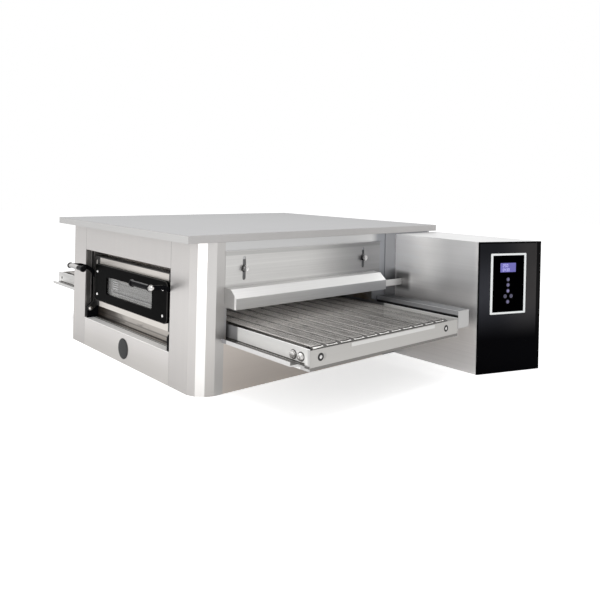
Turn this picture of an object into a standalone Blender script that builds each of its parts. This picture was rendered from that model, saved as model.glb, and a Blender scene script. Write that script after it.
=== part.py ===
"""Conveyor (tunnel) pizza oven, countertop size, as named sub-parts.

World frame: metres, +Z up, +X along the belt, -Y is the door side. The origin
is the middle of the casing's footprint on the counter. Run in Blender 4.5.
"""
import math

import bmesh
import bpy
from mathutils import Vector
from mathutils.geometry import tessellate_polygon

# ---------------------------------------------------------------- sizes (m)
gap = 0.0003                  # seat between touching pieces
sheet = 0.0012                # casing sheet
frame_sheet = 0.0015          # conveyor, hood and tray sheet

body_len = 0.892              # casing along the belt
belt_width = 0.552
rear_room = 0.341             # casing behind the conveyor
body_top = 0.4232             # underside of the top plate
top_thick = 0.0216            # folded edge of the top plate
top_overhang = 0.039          # top plate past the front
corner_cut = 0.054            # each corner is folded in three equal facets
pan_upstand = 0.025

sill_z = 0.097                # ledge under the door
sill_depth = 0.044
kick_top = 0.1388             # top of the kick plate
header_z = 0.338              # top of the recess
recess_depth = 0.0837
side_seam_front = 0.082       # end panel starts this far behind the front
rear_seam_out = 0.051         # rear seam behind the conveyor
panel_lap = 0.012             # end panel behind the posts' legs
rear_leg = 0.100

chamber_floor_z = 0.1048
chamber_ceiling_z = 0.292
insulation_top_z = 0.420
element_radius = 0.004
element_inset = 0.008         # element centre line from its plate
element_reach = 0.380

door_half = 0.276             # half width of the door
door_side_gap = 0.0163        # door to the side of its recess
door_face = 0.028             # door skin behind the casing's front
door_thick = 0.034
door_bottom = 0.142
door_top = 0.316
bezel_margin = 0.0265         # black frame inside the door's edge
bezel_shift = -0.005          # frame and window left of the door's middle
bezel_corner = 0.016
bezel_z0, bezel_z1 = 0.1645, 0.2915
bezel_thick = 0.010
window_half = 0.1585
window_z0, window_z1 = 0.1935, 0.2545
window_corner = 0.010
window_lip = 0.009            # door skin seen inside the glass
glass_thick = 0.004
pivot_y = 0.012               # hinge axis behind the casing's front
pivot_z = 0.130
hinge_pin_r = 0.004
hinge_plate = 0.006
ear_thick = 0.004
arm_thick = 0.006
arm_stand = 0.005             # arm off the door's side
arm_half_width = 0.0065
hub_y, hub_z = -0.060, 0.286  # handle axis, from the casing's front
hub_r = 0.0105
grip_r = 0.008
grip_len = 0.109
cap_r = 0.0105
cap_len = 0.009
acorn_r = 0.0075

tunnel_front = 0.090          # opening in the end panels, from the front
tunnel_short = 0.013          # opening stops short of the conveyor's rear
tunnel_top = 0.296
tunnel_step = 0.200
damper_past = 0.022           # damper past the conveyor's rear
damper_bottom, damper_top = 0.292, 0.396
damper_lip = 0.008
slot_in_front, slot_in_rear = 0.0650, 0.0850   # slots inside the damper
slot_z0, slot_z1 = 0.3127, 0.3811
slot_width = 0.0110
knob_z = 0.3457
knob_r = 0.0090
knob_len = 0.013
hood_short = 0.006            # hood stops short of the conveyor's rear
hood_ridge, hood_ridge_z = 0.0288, 0.2952
hood_front, hood_slope_z = 0.0552, 0.273
hood_top_z, hood_bottom_z = 0.297, 0.2424
strap_x, strap_z0, strap_z1 = 0.029, 0.245, 0.267

conveyor_reach = 0.3375       # conveyor past each end of the casing
rail_front = 0.096            # front side plate, behind the casing's front
belt_side = 0.0295            # belt's edge to the outside of a side plate
rail_top = 0.1933
rail_bottom = 0.1388
runner = 0.014
flange_z = 0.1515
flange_out = 0.036
flange_gap = 0.003            # flange starts this far from the casing
flange_end = 0.0135           # and stops this far from the conveyor's end
flange_cut = 0.018
hem = 0.0105
end_plate_z0, end_plate_z1 = 0.1478, 0.190
end_lip_in_front, end_lip_in_rear = 0.143, 0.117
end_lip_z0, end_lip_z1 = 0.179, 0.189
end_lip_proud = 0.0012
tray_height = 0.0070
roller_inset = 0.0315         # roller axis from the conveyor's end
axle_z = 0.1703
axle_r = 0.006
drum_r = 0.0192
belt_inner_r = 0.0195
belt_thick = 0.0019
belt_links = 96
belt_lanes = 2
belt_edge = 0.006
belt_rung_share = 0.30        # of each link's length

chain_pitch = 0.00635
chain_teeth = 12
chain_gap_links = 58          # centre distance in links
chain_out = 0.031             # chain behind the conveyor
chain_height = 0.0052
chain_plate = 0.0019
chain_slot = 0.0032
chain_roller_share = 0.52
chain_clear_links = 2         # links past each wheel without rollers
sprocket_thick = 0.0028
guard_out, guard_width = 0.0127, 0.0568
guard_reach = 0.330
guard_z0, guard_z1 = 0.158, 0.211
guard_slot_margin = 0.0035
shaft_r = 0.005
shaft_len = 0.024
bracket_thick = 0.0025
bracket_half = 0.045
bracket_foot = 0.040
gearbox_half = 0.030
gearbox_len = 0.038
motor_r = 0.027
motor_len = 0.068

box_out = 0.108               # control box behind the conveyor
box_reach_near, box_reach_far = 0.3374, 0.421
box_drop = 0.0042             # control box below the casing's top
box_wall = 0.0015
panel_thick = 0.003
keypad_u0, keypad_u1 = 0.0458, 0.1858
keypad_z0, keypad_z1 = 0.1876, 0.3816
keypad_thick = 0.0012
keypad_corner = 0.003
button_r = 0.0065
button_proud = 0.0018
button_back = 0.0025
buttons = [("up", 0.1135, 0.2982), ("set", 0.1135, 0.2805),
           ("down", 0.1135, 0.2614), ("minus", 0.1030, 0.2445),
           ("plus", 0.1268, 0.2445), ("power", 0.1135, 0.2266)]

# --------------------------------------------------------- derived places
rail_rear = rail_front + belt_width + 2 * belt_side
body_dep = rail_rear + rear_room
side_seam_rear = rail_rear + rear_seam_out
tunnel_rear = rail_rear - tunnel_short
damper_rear = rail_rear + damper_past
damper_front = side_seam_front + 0.0005
slot_front, slot_rear = damper_front + slot_in_front, damper_rear - slot_in_rear
hood_rear = rail_rear - hood_short
end_lip_front, end_lip_rear = rail_front + end_lip_in_front, rail_rear - end_lip_in_rear
guard_front = rail_rear + guard_out
guard_rear = guard_front + guard_width
box_front = rail_rear + box_out
box_height = body_top - box_drop
door_open_half = door_half + door_side_gap
bezel_half = door_half - bezel_margin
arm_inner = door_half + arm_stand
grip_inner = arm_inner - grip_len
half_x = body_len / 2
front = -body_dep / 2
rear = body_dep / 2
casing_z = body_top - gap     # top of posts and panels
end_face = half_x - sheet - gap          # outer face of an end panel
end_inner = end_face - sheet
rail_y0 = front + rail_front
rail_y1 = front + rail_rear
wall_front = front + recess_depth + gap  # chamber's front wall
wall_rear = rail_y1 + 0.003              # chamber's rear wall
conveyor_end_x = half_x + conveyor_reach
roller_x = conveyor_end_x - roller_inset
belt_y = (rail_y0 + rail_y1) / 2
chain_y = rail_y1 + chain_out
chain_r = chain_pitch / (2 * math.sin(math.pi / chain_teeth))
motor_x = roller_x - chain_gap_links * chain_pitch
pivot = (0.0, front + pivot_y, pivot_z)

# -------------------------------------------------------------- materials


def material(name, color, rough, metal, alpha=1.0):
    """A Principled material with the piece's own colour and finish."""
    mat = bpy.data.materials.new(name)
    mat.use_nodes = True
    bsdf = mat.node_tree.nodes["Principled BSDF"]
    bsdf.inputs["Base Color"].default_value = (*color, 1.0)
    bsdf.inputs["Roughness"].default_value = rough
    bsdf.inputs["Metallic"].default_value = metal
    bsdf.inputs["Alpha"].default_value = alpha
    return mat


for old in list(bpy.data.objects):
    bpy.data.objects.remove(old, do_unlink=True)

STEEL = ("brushed_steel", (0.62, 0.61, 0.60), 0.34, 1.0)
GALV = ("galvanised_sheet", (0.50, 0.51, 0.52), 0.5, 1.0)
BLACK = ("black_enamel", (0.02, 0.02, 0.022), 0.35, 0.0)
CHROME = ("chrome", (0.80, 0.80, 0.81), 0.12, 1.0)
GLASS = ("window_glass", (0.55, 0.55, 0.54), 0.05, 0.0, 0.4)
WOOL = ("mineral_wool", (0.62, 0.56, 0.42), 0.95, 0.0)
TUBE = ("element_tube", (0.16, 0.15, 0.14), 0.6, 1.0)
WIRE = ("belt_wire", (0.55, 0.54, 0.52), 0.3, 1.0)
IRON = ("dark_casting", (0.08, 0.08, 0.085), 0.5, 0.6)
RUBBER = ("button_rubber", (0.04, 0.04, 0.045), 0.55, 0.0)

# ------------------------------------------------------------- the tools


def place(name, mesh, finish, loc=(0, 0, 0), turn=0.0, parent=None, smooth=None):
    """Link a mesh as one named object with its own material."""
    obj = bpy.data.objects.new(name, mesh)
    bpy.context.collection.objects.link(obj)
    mesh.materials.clear()
    mesh.materials.append(material(name + "_" + finish[0], *finish[1:]))
    obj.location = loc
    obj.rotation_euler = (0, 0, turn)
    if smooth is not None:
        mesh.shade_smooth()
        mesh.set_sharp_from_angle(angle=math.radians(smooth))
    if parent is not None:
        obj.parent = parent
        obj.location = Vector(loc) - parent.location
    return obj


def mesh_of(verts, faces):
    """Closed mesh from points and faces, with its faces turned outward."""
    bm = bmesh.new()
    made = [bm.verts.new(v) for v in verts]
    for face in faces:
        bm.faces.new([made[i] for i in face])
    bmesh.ops.recalc_face_normals(bm, faces=bm.faces[:])
    mesh = bpy.data.meshes.new("mesh")
    bm.to_mesh(mesh)
    bm.free()
    return mesh


def axis_point(axis, u, v, w):
    """Outline point (u, v) at depth w along the named axis."""
    return {"x": (w, u, v), "y": (u, w, v), "z": (u, v, w)}[axis]


def extrude(outline, axis, lo, hi, holes=()):
    """Flat outline with holes, pushed along one axis from lo to hi."""
    loops = [list(outline)] + [list(h) for h in holes]
    flat = [p for loop in loops for p in loop]
    caps = tessellate_polygon([[Vector((u, v, 0)) for u, v in loop] for loop in loops])
    n = len(flat)
    verts = [axis_point(axis, u, v, lo) for u, v in flat]
    verts += [axis_point(axis, u, v, hi) for u, v in flat]
    if holes:
        faces = [tuple(t) for t in caps] + [tuple(i + n for i in t) for t in caps]
    else:
        faces = [tuple(range(n)), tuple(range(n, 2 * n))]
    start = 0
    for loop in loops:
        m = len(loop)
        for i in range(m):
            a, b = start + i, start + (i + 1) % m
            faces.append((a, b, b + n, a + n))
        start += m
    return mesh_of(verts, faces)


def block(x0, x1, y0, y1, z0, z1):
    """Plain rectangular solid."""
    return extrude([(x0, y0), (x1, y0), (x1, y1), (x0, y1)], "z", z0, z1)


def bent(path, thick, axis, lo, hi):
    """Folded sheet: a path thickened to its right and extruded."""
    right = []
    for (ax, ay), (bx, by) in zip(path, path[1:]):
        length = math.hypot(bx - ax, by - ay)
        right.append(((by - ay) / length, (ax - bx) / length))
    inner = []
    for i, (px, py) in enumerate(path):
        a = right[max(i - 1, 0)]
        b = right[min(i, len(right) - 1)]
        share = thick / (1 + a[0] * b[0] + a[1] * b[1])
        inner.append((px + (a[0] + b[0]) * share, py + (a[1] + b[1]) * share))
    return extrude(list(path) + inner[::-1], axis, lo, hi)


def rounded(u0, v0, u1, v1, radius, steps=4):
    """Rectangle with round corners, counter-clockwise."""
    points = []
    corners = [(u1, v1, 0), (u0, v1, 90), (u0, v0, 180), (u1, v0, 270)]
    for u, v, start in corners:
        cu = u - radius if u == u1 else u + radius
        cv = v - radius if v == v1 else v + radius
        for k in range(steps + 1):
            a = math.radians(start + 90 * k / steps)
            points.append((cu + radius * math.cos(a), cv + radius * math.sin(a)))
    return points


def ring(cu, cv, radius, count=20):
    """Circle as a closed loop of points."""
    return [(cu + radius * math.cos(2 * math.pi * k / count),
             cv + radius * math.sin(2 * math.pi * k / count)) for k in range(count)]


def turned(axis, centre, profile, count=24):
    """Solid of revolution; profile is (radius, place) pairs along the axis."""
    verts, rows, faces = [], [], []
    for radius, along in profile:
        if radius == 0:
            rows.append([len(verts)])
            verts.append(axis_point(axis, centre[0], centre[1], along))
            continue
        rows.append(list(range(len(verts), len(verts) + count)))
        verts += [axis_point(axis, u, v, along)
                  for u, v in ring(centre[0], centre[1], radius, count)]
    for a, b in zip(rows, rows[1:]):
        for k in range(count):
            quad = [a[k % len(a)], a[(k + 1) % len(a)], b[(k + 1) % len(b)], b[k % len(b)]]
            faces.append(tuple(dict.fromkeys(quad)))
    for row in (rows[0], rows[-1]):
        if len(row) > 1:
            faces.append(tuple(row))
    return mesh_of(verts, faces)


def cup(outer, inner, z_rim, z_outer, z_inner):
    """Tray: outer outline with a pocket of the inner outline, rim at z_rim."""
    n = len(outer)
    verts = [(x, y, z_outer) for x, y in outer] + [(x, y, z_rim) for x, y in outer]
    verts += [(x, y, z_rim) for x, y in inner] + [(x, y, z_inner) for x, y in inner]
    faces = [tuple(range(n)), tuple(range(3 * n, 4 * n))]
    for row in range(3):
        for k in range(n):
            a, b = row * n + k, row * n + (k + 1) % n
            faces.append((a, b, b + n, a + n))
    return mesh_of(verts, faces)


def combine(mesh, other, how):
    """Boolean of two meshes with the exact solver, as a new mesh."""
    first = bpy.data.objects.new("first", mesh)
    second = bpy.data.objects.new("second", other)
    for obj in (first, second):
        bpy.context.collection.objects.link(obj)
    second.hide_render = True
    second.display_type = "WIRE"
    mod = first.modifiers.new("boolean", "BOOLEAN")
    mod.operation = how
    mod.solver = "EXACT"
    mod.object = second
    graph = bpy.context.evaluated_depsgraph_get()
    graph.update()
    result = bpy.data.meshes.new_from_object(first.evaluated_get(graph))
    bpy.data.objects.remove(first)
    bpy.data.objects.remove(second)
    return result


def fuse(mesh, *others):
    """Union of one mesh with each of the others."""
    for other in others:
        mesh = combine(mesh, other, "UNION")
    return mesh


def cut(mesh, *others):
    """One mesh with each of the others taken away."""
    for other in others:
        mesh = combine(mesh, other, "DIFFERENCE")
    return mesh


def ladder(points, normals, width, rails, slot_rows, thick, y_mid):
    """Closed band with rows of holes, such as a wire belt or a roller chain.

    points are (x, z, is_slot) stations round the loop, is_slot saying that the
    cell from that station to the next one is open between the rails; rails are
    the cell borders across the band, as fractions of its width.
    """
    n, m = len(points), len(rails)
    verts = []
    for side in (-0.5, 0.5):
        for (x, z, _), (nx, nz) in zip(points, normals):
            for share in rails:
                verts.append((x + nx * thick * side, y_mid + (share - 0.5) * width,
                              z + nz * thick * side))

    def index(side, i, j):
        return (side * n + i % n) * m + j

    faces = []
    for i in range(n):
        for j in range(m - 1):
            if points[i][2] and j in slot_rows:
                walls = [((i, j), (i + 1, j)), ((i, j + 1), (i + 1, j + 1))]
                if not points[i - 1][2]:
                    walls.append(((i, j), (i, j + 1)))
                if not points[(i + 1) % n][2]:
                    walls.append(((i + 1, j), (i + 1, j + 1)))
                for (a, b), (c, d) in walls:
                    faces.append((index(0, a, b), index(0, c, d),
                                  index(1, c, d), index(1, a, b)))
                continue
            for side in (0, 1):
                faces.append((index(side, i, j), index(side, i + 1, j),
                              index(side, i + 1, j + 1), index(side, i, j + 1)))
        for j in (0, m - 1):
            faces.append((index(0, i, j), index(0, i + 1, j),
                          index(1, i + 1, j), index(1, i, j)))
    return mesh_of(verts, faces)


def racetrack(x0, x1, z_mid, radius, pitch_stations):
    """Stations along a loop round two equal wheels at x0 and x1.

    pitch_stations lists (distance along the loop, is_slot), measured from the
    top of the wheel at x0, over the top run to x1 and back underneath.
    """
    run = x1 - x0
    half_turn = math.pi * radius
    points, normals = [], []
    for s, is_slot in pitch_stations:
        if s < run:
            points.append((x0 + s, z_mid + radius, is_slot))
            normals.append((0.0, 1.0))
        elif s < run + half_turn:
            a = math.pi / 2 - (s - run) / radius
            points.append((x1 + radius * math.cos(a), z_mid + radius * math.sin(a), is_slot))
            normals.append((math.cos(a), math.sin(a)))
        elif s < 2 * run + half_turn:
            points.append((x1 - (s - run - half_turn), z_mid - radius, is_slot))
            normals.append((0.0, -1.0))
        else:
            a = -math.pi / 2 - (s - 2 * run - half_turn) / radius
            points.append((x0 + radius * math.cos(a), z_mid + radius * math.sin(a), is_slot))
            normals.append((math.cos(a), math.sin(a)))
    return points, normals


def with_bends(stations, x0, x1, radius, steps):
    """Stations with more of them round both wheels, so that the band bends."""
    run, half_turn = x1 - x0, math.pi * radius
    extra = [start + half_turn * k / steps
             for start in (run, 2 * run + half_turn) for k in range(steps + 1)]
    kept = list(stations)
    for s in extra:
        if all(abs(s - at) > 0.0008 for at, _ in stations):
            before = [flag for at, flag in stations if at <= s]
            kept.append((s, before[-1]))
    return sorted(kept)


# ------------------------------------------------------------ the casing
def corner_path(reach_front, reach_side):
    """Plan of a folded corner, as distances from its two faces."""
    c = corner_cut
    near = c * 0.19
    mid = c * 0.54
    return [(reach_front, 0), (c, 0), (mid, near), (near, mid), (0, c), (0, reach_side)]


pan_x = end_inner - gap
pan_y = rear - sheet - gap


def pan_outline(shrink):
    """Plan of the base pan inside the posts, corners folded like theirs."""
    hx, hy = pan_x - shrink, pan_y - shrink
    quarter = [(0, corner_cut), (corner_cut * 0.19, corner_cut * 0.54),
               (corner_cut * 0.54, corner_cut * 0.19), (corner_cut, 0)]
    points = []
    for sx, sy, order in ((1, 1, 1), (-1, 1, -1), (-1, -1, 1), (1, -1, -1)):
        for a, b in quarter[::order]:
            points.append((sx * (hx - a), sy * (hy - b)))
    return points


place("base_pan", cup(pan_outline(0), pan_outline(frame_sheet), pan_upstand, 0,
                      frame_sheet), GALV)

for side, sx in (("right", 1), ("left", -1)):
    flange = (body_len / 2 - door_open_half)
    for end, sy in (("front", 1), ("rear", -1)):
        if end == "front":
            path = corner_path(flange, side_seam_front)
        else:
            path = corner_path(rear_leg, body_dep - side_seam_rear)
        world = [(sx * (half_x - a), sy * (front + b)) for a, b in path]
        if sx * sy > 0:
            world = world[::-1]
        post = bent(world, sheet, "z", 0, casing_z)
        if end == "front":
            jamb_x = sorted((sx * door_open_half, sx * (door_open_half + sheet)))
            post = fuse(post, block(*jamb_x, front + sheet / 2, front + recess_depth,
                                    sill_z, casing_z))
        place(f"corner_post_{end}_{side}", post, STEEL)

panel_half = door_open_half - gap
place("front_upper_panel",
      bent([(front + recess_depth, header_z), (front, header_z), (front, casing_z)],
           sheet, "x", -panel_half, panel_half), STEEL)
place("front_lower_panel",
      bent([(front, 0), (front, sill_z), (front + sill_depth, sill_z),
            (front + sill_depth, kick_top), (front + recess_depth, kick_top)],
           sheet, "x", -panel_half, panel_half), STEEL)

louvres = []
for bank in (-0.17, 0.17):
    for k in range(9):
        z = 0.18 + 0.018 * k
        louvres.append(rounded(bank - 0.05, z - 0.003, bank + 0.05, z + 0.003, 0.0029, 2))
rear_half = half_x - rear_leg - gap
place("rear_panel", extrude([(-rear_half, 0), (rear_half, 0), (rear_half, casing_z),
                             (-rear_half, casing_z)], "y", rear - sheet, rear, louvres),
      STEEL)

top = [(-half_x, front - top_overhang), (half_x, front - top_overhang),
       (half_x, rear), (-half_x, rear)]
top_in = [(-half_x + frame_sheet, front - top_overhang + frame_sheet),
          (half_x - frame_sheet, front - top_overhang + frame_sheet),
          (half_x - frame_sheet, rear - frame_sheet),
          (-half_x + frame_sheet, rear - frame_sheet)]
place("top_plate", cup(top, top_in, body_top, body_top + top_thick,
                       body_top + top_thick - frame_sheet), STEEL)

# ------------------------------------------------- end panels and chamber
tunnel = [(front + tunnel_front, rail_bottom - gap),
          (rail_y1 + 0.003, rail_bottom - gap),
          (rail_y1 + 0.003, tunnel_step), (front + tunnel_rear, tunnel_step),
          (front + tunnel_rear, tunnel_top), (front + tunnel_front, tunnel_top)]
chain_clear = chain_r + chain_height / 2 + guard_slot_margin
slot_half = (chain_slot + 2 * chain_plate) / 2 + guard_slot_margin
chain_hole = [(chain_y - slot_half, axle_z - chain_clear),
              (chain_y + slot_half, axle_z - chain_clear),
              (chain_y + slot_half, axle_z + chain_clear),
              (chain_y - slot_half, axle_z + chain_clear)]
panel_y0 = front + side_seam_front - panel_lap
panel_y1 = front + side_seam_rear + panel_lap
for side, sx in (("right", 1), ("left", -1)):
    faces_x = sorted((sx * end_inner, sx * end_face))
    openings = [tunnel] + ([chain_hole] if sx > 0 else [])
    place(f"end_panel_{side}",
          extrude([(panel_y0, 0), (panel_y1, 0), (panel_y1, casing_z), (panel_y0, casing_z)],
                  "x", *faces_x, openings), STEEL)

inner_x = end_inner - 2 * gap
wall_base = chamber_floor_z + sheet + gap
place("chamber_floor", block(-inner_x, inner_x, wall_front, wall_rear + sheet,
                             chamber_floor_z, chamber_floor_z + sheet), GALV)
door_view = [(-0.262, 0.196), (0.262, 0.196), (0.262, 0.290), (-0.262, 0.290)]
place("chamber_front_wall",
      extrude([(-inner_x, wall_base), (inner_x, wall_base),
               (inner_x, insulation_top_z), (-inner_x, insulation_top_z)],
              "y", wall_front, wall_front + sheet, [door_view]), GALV)
place("chamber_rear_wall", block(-inner_x, inner_x, wall_rear, wall_rear + sheet,
                                 wall_base, insulation_top_z), GALV)
lining = (-inner_x, inner_x, wall_front + sheet + gap, wall_rear - gap)
place("chamber_ceiling", block(*lining, chamber_ceiling_z, chamber_ceiling_z + sheet), GALV)
place("insulation_top", block(*lining, chamber_ceiling_z + sheet + gap, insulation_top_z),
      WOOL)
in_pan = pan_x - frame_sheet - gap
place("insulation_bottom", block(-in_pan, in_pan, *lining[2:], frame_sheet + gap,
                                 chamber_floor_z - gap), WOOL)


def element(name, z):
    """Serpentine heating tube, both ends seated on the rear wall."""
    far, near = wall_front + 0.030, wall_rear - 0.060
    pitch = 2 * element_reach / 5
    points = [(-element_reach, wall_rear - gap)]
    for k in range(6):
        x = -element_reach + pitch * k
        going_front = k % 2 == 0
        start, stop = (near, far) if going_front else (far, near)
        side = -1 if going_front else 1
        points.append((x, start))
        if k == 5:
            points[-1] = (x, far)
            points.append((x, wall_rear - gap))
            break
        for step in range(7):
            a = math.pi * step / 6
            points.append((x + pitch / 2 - pitch / 2 * math.cos(a),
                           stop + side * 0.018 * math.sin(a)))
    curve = bpy.data.curves.new(name, "CURVE")
    curve.dimensions = "3D"
    curve.bevel_depth = element_radius
    curve.bevel_resolution = 1
    curve.use_fill_caps = True
    spline = curve.splines.new("POLY")
    clean = [points[0]]
    for p in points[1:]:
        if math.hypot(p[0] - clean[-1][0], p[1] - clean[-1][1]) > 0.002:
            clean.append(p)
    spline.points.add(len(clean) - 1)
    for target, (x, y) in zip(spline.points, clean):
        target.co = (x, y, 0, 1)
    obj = bpy.data.objects.new(name, curve)
    bpy.context.collection.objects.link(obj)
    curve.materials.append(material(name + "_" + TUBE[0], *TUBE[1:]))
    obj.location = (0, 0, z)
    return obj


element("upper_heating_element", chamber_ceiling_z - element_inset)
element("lower_heating_element", chamber_floor_z + sheet + element_inset + 0.003)

# --------------------------------------------------------------- the door
hinge = bpy.data.objects.new("door_axis", None)
bpy.context.collection.objects.link(hinge)
hinge.location = pivot

face_y = front + door_face


def from_pivot(mesh):
    """Move a mesh's points so that they count from the hinge axis."""
    for vert in mesh.vertices:
        vert.co -= Vector(pivot)
    return mesh


window_x0, window_x1 = bezel_shift - window_half, bezel_shift + window_half
hollow = rounded(window_x0 + window_lip, window_z0 + window_lip,
                 window_x1 - window_lip, window_z1 - window_lip,
                 window_corner * 0.6)
slab = extrude([(-door_half, door_bottom), (door_half, door_bottom),
                (door_half, door_top), (-door_half, door_top)],
               "y", face_y, face_y + door_thick, [hollow])
ears = []
for sx in (1, -1):
    ear_x = sorted((sx * (door_half - 0.0001), sx * (door_half - ear_thick)))
    outline = [(pivot[1] + dy, pivot[2] + dz) for dy, dz in
               ((-0.009, -0.005), (-0.005, -0.009), (0.006, -0.008), (0.026, 0.010),
                (0.044, 0.018), (0.044, 0.036), (0.020, 0.036), (-0.009, 0.006))]
    bore = ring(pivot[1], pivot[2], hinge_pin_r + gap, 16)
    ears.append(extrude(outline, "x", *ear_x, [bore]))
door = place("door_panel", from_pivot(fuse(slab, *ears)), STEEL, pivot, parent=hinge)

bezel = extrude(rounded(bezel_shift - bezel_half, bezel_z0, bezel_shift + bezel_half,
                        bezel_z1, bezel_corner), "y",
                face_y - gap - bezel_thick, face_y - gap,
                [rounded(window_x0, window_z0, window_x1, window_z1, window_corner)])
place("door_frame", from_pivot(bezel), BLACK, pivot, parent=hinge)
pane = extrude(rounded(window_x0 + gap, window_z0 + gap, window_x1 - gap,
                       window_z1 - gap, window_corner - gap), "y",
               face_y - gap - glass_thick, face_y - gap)
place("door_glass", from_pivot(pane), GLASS, pivot, parent=hinge)

arm_centre = [(0.052, 0.226), (0.040, 0.236), (0.0294, 0.2445), (0.0198, 0.2634),
              (0.0081, 0.2718), (-0.0036, 0.2778), (-0.0216, 0.2840)]
hub = (front + hub_y, hub_z)


def arm_outline():
    """Curved lever from the door's side to the handle hub."""
    pts = [(front + y, z) for y, z in arm_centre] + [hub]
    left, right = [], []
    for i, (y, z) in enumerate(pts[:-1]):
        ay, az = pts[max(i - 1, 0)]
        by, bz = pts[i + 1]
        length = math.hypot(by - ay, bz - az)
        ny, nz = (az - bz) / length, (by - ay) / length
        left.append((y + ny * arm_half_width, z + nz * arm_half_width))
        right.append((y - ny * arm_half_width, z - nz * arm_half_width))
    towards = math.atan2(hub[1] - pts[-2][1], hub[0] - pts[-2][0])
    eye = []
    for k in range(13):
        turn = towards + math.radians(140 - 280 * k / 12)
        eye.append((hub[0] + hub_r * math.cos(turn), hub[1] + hub_r * math.sin(turn)))
    return right + eye[::-1] + left[::-1]


for side, sx in (("right", 1), ("left", -1)):
    plate_x = sorted((sx * arm_inner, sx * (arm_inner + arm_thick)))
    seat_x = sorted((sx * (door_half + gap), sx * (arm_inner + arm_thick / 2)))
    lever = extrude(arm_outline(), "x", *plate_x)
    boss_at = (front + arm_centre[0][0], arm_centre[0][1])
    boss = turned("x", boss_at, [(0.009, seat_x[0]), (0.009, seat_x[1])], 20)
    outer = arm_inner + arm_thick
    acorn = [(acorn_r * 0.8, sx * (outer - 0.001)), (acorn_r, sx * (outer + 0.003)),
             (acorn_r * 0.92, sx * (outer + 0.007)), (acorn_r * 0.6, sx * (outer + 0.0105)),
             (0, sx * (outer + 0.012))]
    lever = fuse(lever, boss, turned("x", hub, acorn, 20))
    place(f"door_arm_{side}", from_pivot(lever), BLACK, pivot, parent=hinge, smooth=35)
    inner = grip_inner
    grip = [(0, sx * inner), (cap_r * 0.7, sx * inner), (cap_r, sx * (inner + 0.0015)),
            (cap_r, sx * (inner + cap_len)), (grip_r, sx * (inner + cap_len + 0.001)),
            (grip_r, sx * (arm_inner - 0.004)), (grip_r * 0.85, sx * (arm_inner - gap))]
    place(f"door_grip_{side}", from_pivot(turned("x", hub, grip, 24)), BLACK, pivot,
          parent=hinge, smooth=35)
    # fixed bracket on the sill, its pin through the door's ear
    plate0 = door_half + gap
    bracket_x = sorted((sx * plate0, sx * (plate0 + hinge_plate)))
    py, pz = pivot[1], pivot[2]
    outline = [(py - 0.010, sill_z + gap), (py + 0.0305, sill_z + gap),
               (py + 0.0305, pz + 0.030), (py + 0.024, pz + 0.033), (py - 0.004, pz + 0.012),
               (py - 0.010, pz + 0.004)]
    pin_x = sorted((sx * (plate0 + hinge_plate / 2), sx * (door_half - ear_thick)))
    pin = turned("x", (py, pz), [(hinge_pin_r, pin_x[0]), (hinge_pin_r, pin_x[1])], 16)
    place(f"hinge_bracket_{side}", fuse(extrude(outline, "x", *bracket_x), pin), BLACK)

# ------------------------------------------------------ dampers and hoods
for side, sx in (("right", 1), ("left", -1)):
    skin = half_x
    dam_y0, dam_y1 = front + damper_front, front + damper_rear
    path = [(sx * skin, damper_bottom), (sx * skin, damper_top),
            (sx * (skin + damper_lip), damper_top)]
    plate = bent(path, -sheet * sx, "y", dam_y0, dam_y1)
    slots = []
    for at in (slot_front, slot_rear):
        slots.append(extrude(rounded(front + at - slot_width / 2, slot_z0,
                                     front + at + slot_width / 2, slot_z1,
                                     slot_width / 2 - 0.00005, 4),
                             "x", *sorted((sx * (skin - 0.01), sx * (skin + 0.003)))))
    place(f"damper_panel_{side}", cut(plate, *slots), STEEL)

    t = frame_sheet
    base = skin + gap
    shell = [(base, hood_bottom_z), (skin + hood_front, hood_bottom_z),
             (skin + hood_front, hood_slope_z), (skin + hood_ridge, hood_ridge_z),
             (base, hood_top_z)]
    room = [(base - 0.01, hood_bottom_z - 0.01), (skin + hood_front - t, hood_bottom_z - 0.01),
            (skin + hood_front - t, hood_slope_z - t * 0.5),
            (skin + hood_ridge - t * 0.4, hood_ridge_z - t), (base - 0.01, hood_top_z - t)]
    y0, y1 = front + side_seam_front - 0.0006, front + hood_rear
    hood = cut(extrude([(sx * x, z) for x, z in shell], "y", y0, y1),
               extrude([(sx * x, z) for x, z in room], "y", y0 + t, y1 - t))
    if side == "right":
        hood = fuse(hood, block(skin + strap_x, skin + strap_x + t, y1 - t / 2,
                                front + box_front - 0.001, strap_z0, strap_z1))
    place(f"hood_{side}", hood, STEEL)

    for end, at in (("front", slot_front), ("rear", slot_rear)):
        stud = slot_width / 2 - gap
        x = [end_face + gap, skin + gap, skin + gap, skin + 0.0025, skin + 0.003,
             skin + knob_len - 0.001, skin + knob_len]
        r = [stud, stud, knob_r * 0.75, knob_r * 0.75, knob_r, knob_r, knob_r * 0.9]
        at_y = front + at
        mesh = turned("x", (0, 0), [(ri, sx * (xi - end_face)) for ri, xi in zip(r, x)], 20)
        place(f"thumbscrew_{side}_{end}", mesh, CHROME, (sx * end_face, at_y, knob_z),
              smooth=35)

# ----------------------------------------------------------- the conveyor
bores = [(sx * roller_x, axle_z) for sx in (1, -1)]


def axle_cutters(y):
    """Cutters for both rollers' axle holes through a side plate."""
    return [turned("y", at, [(axle_r + gap, y - 0.01), (axle_r + gap, y + 0.01)], 20)
            for at in bores]


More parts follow.
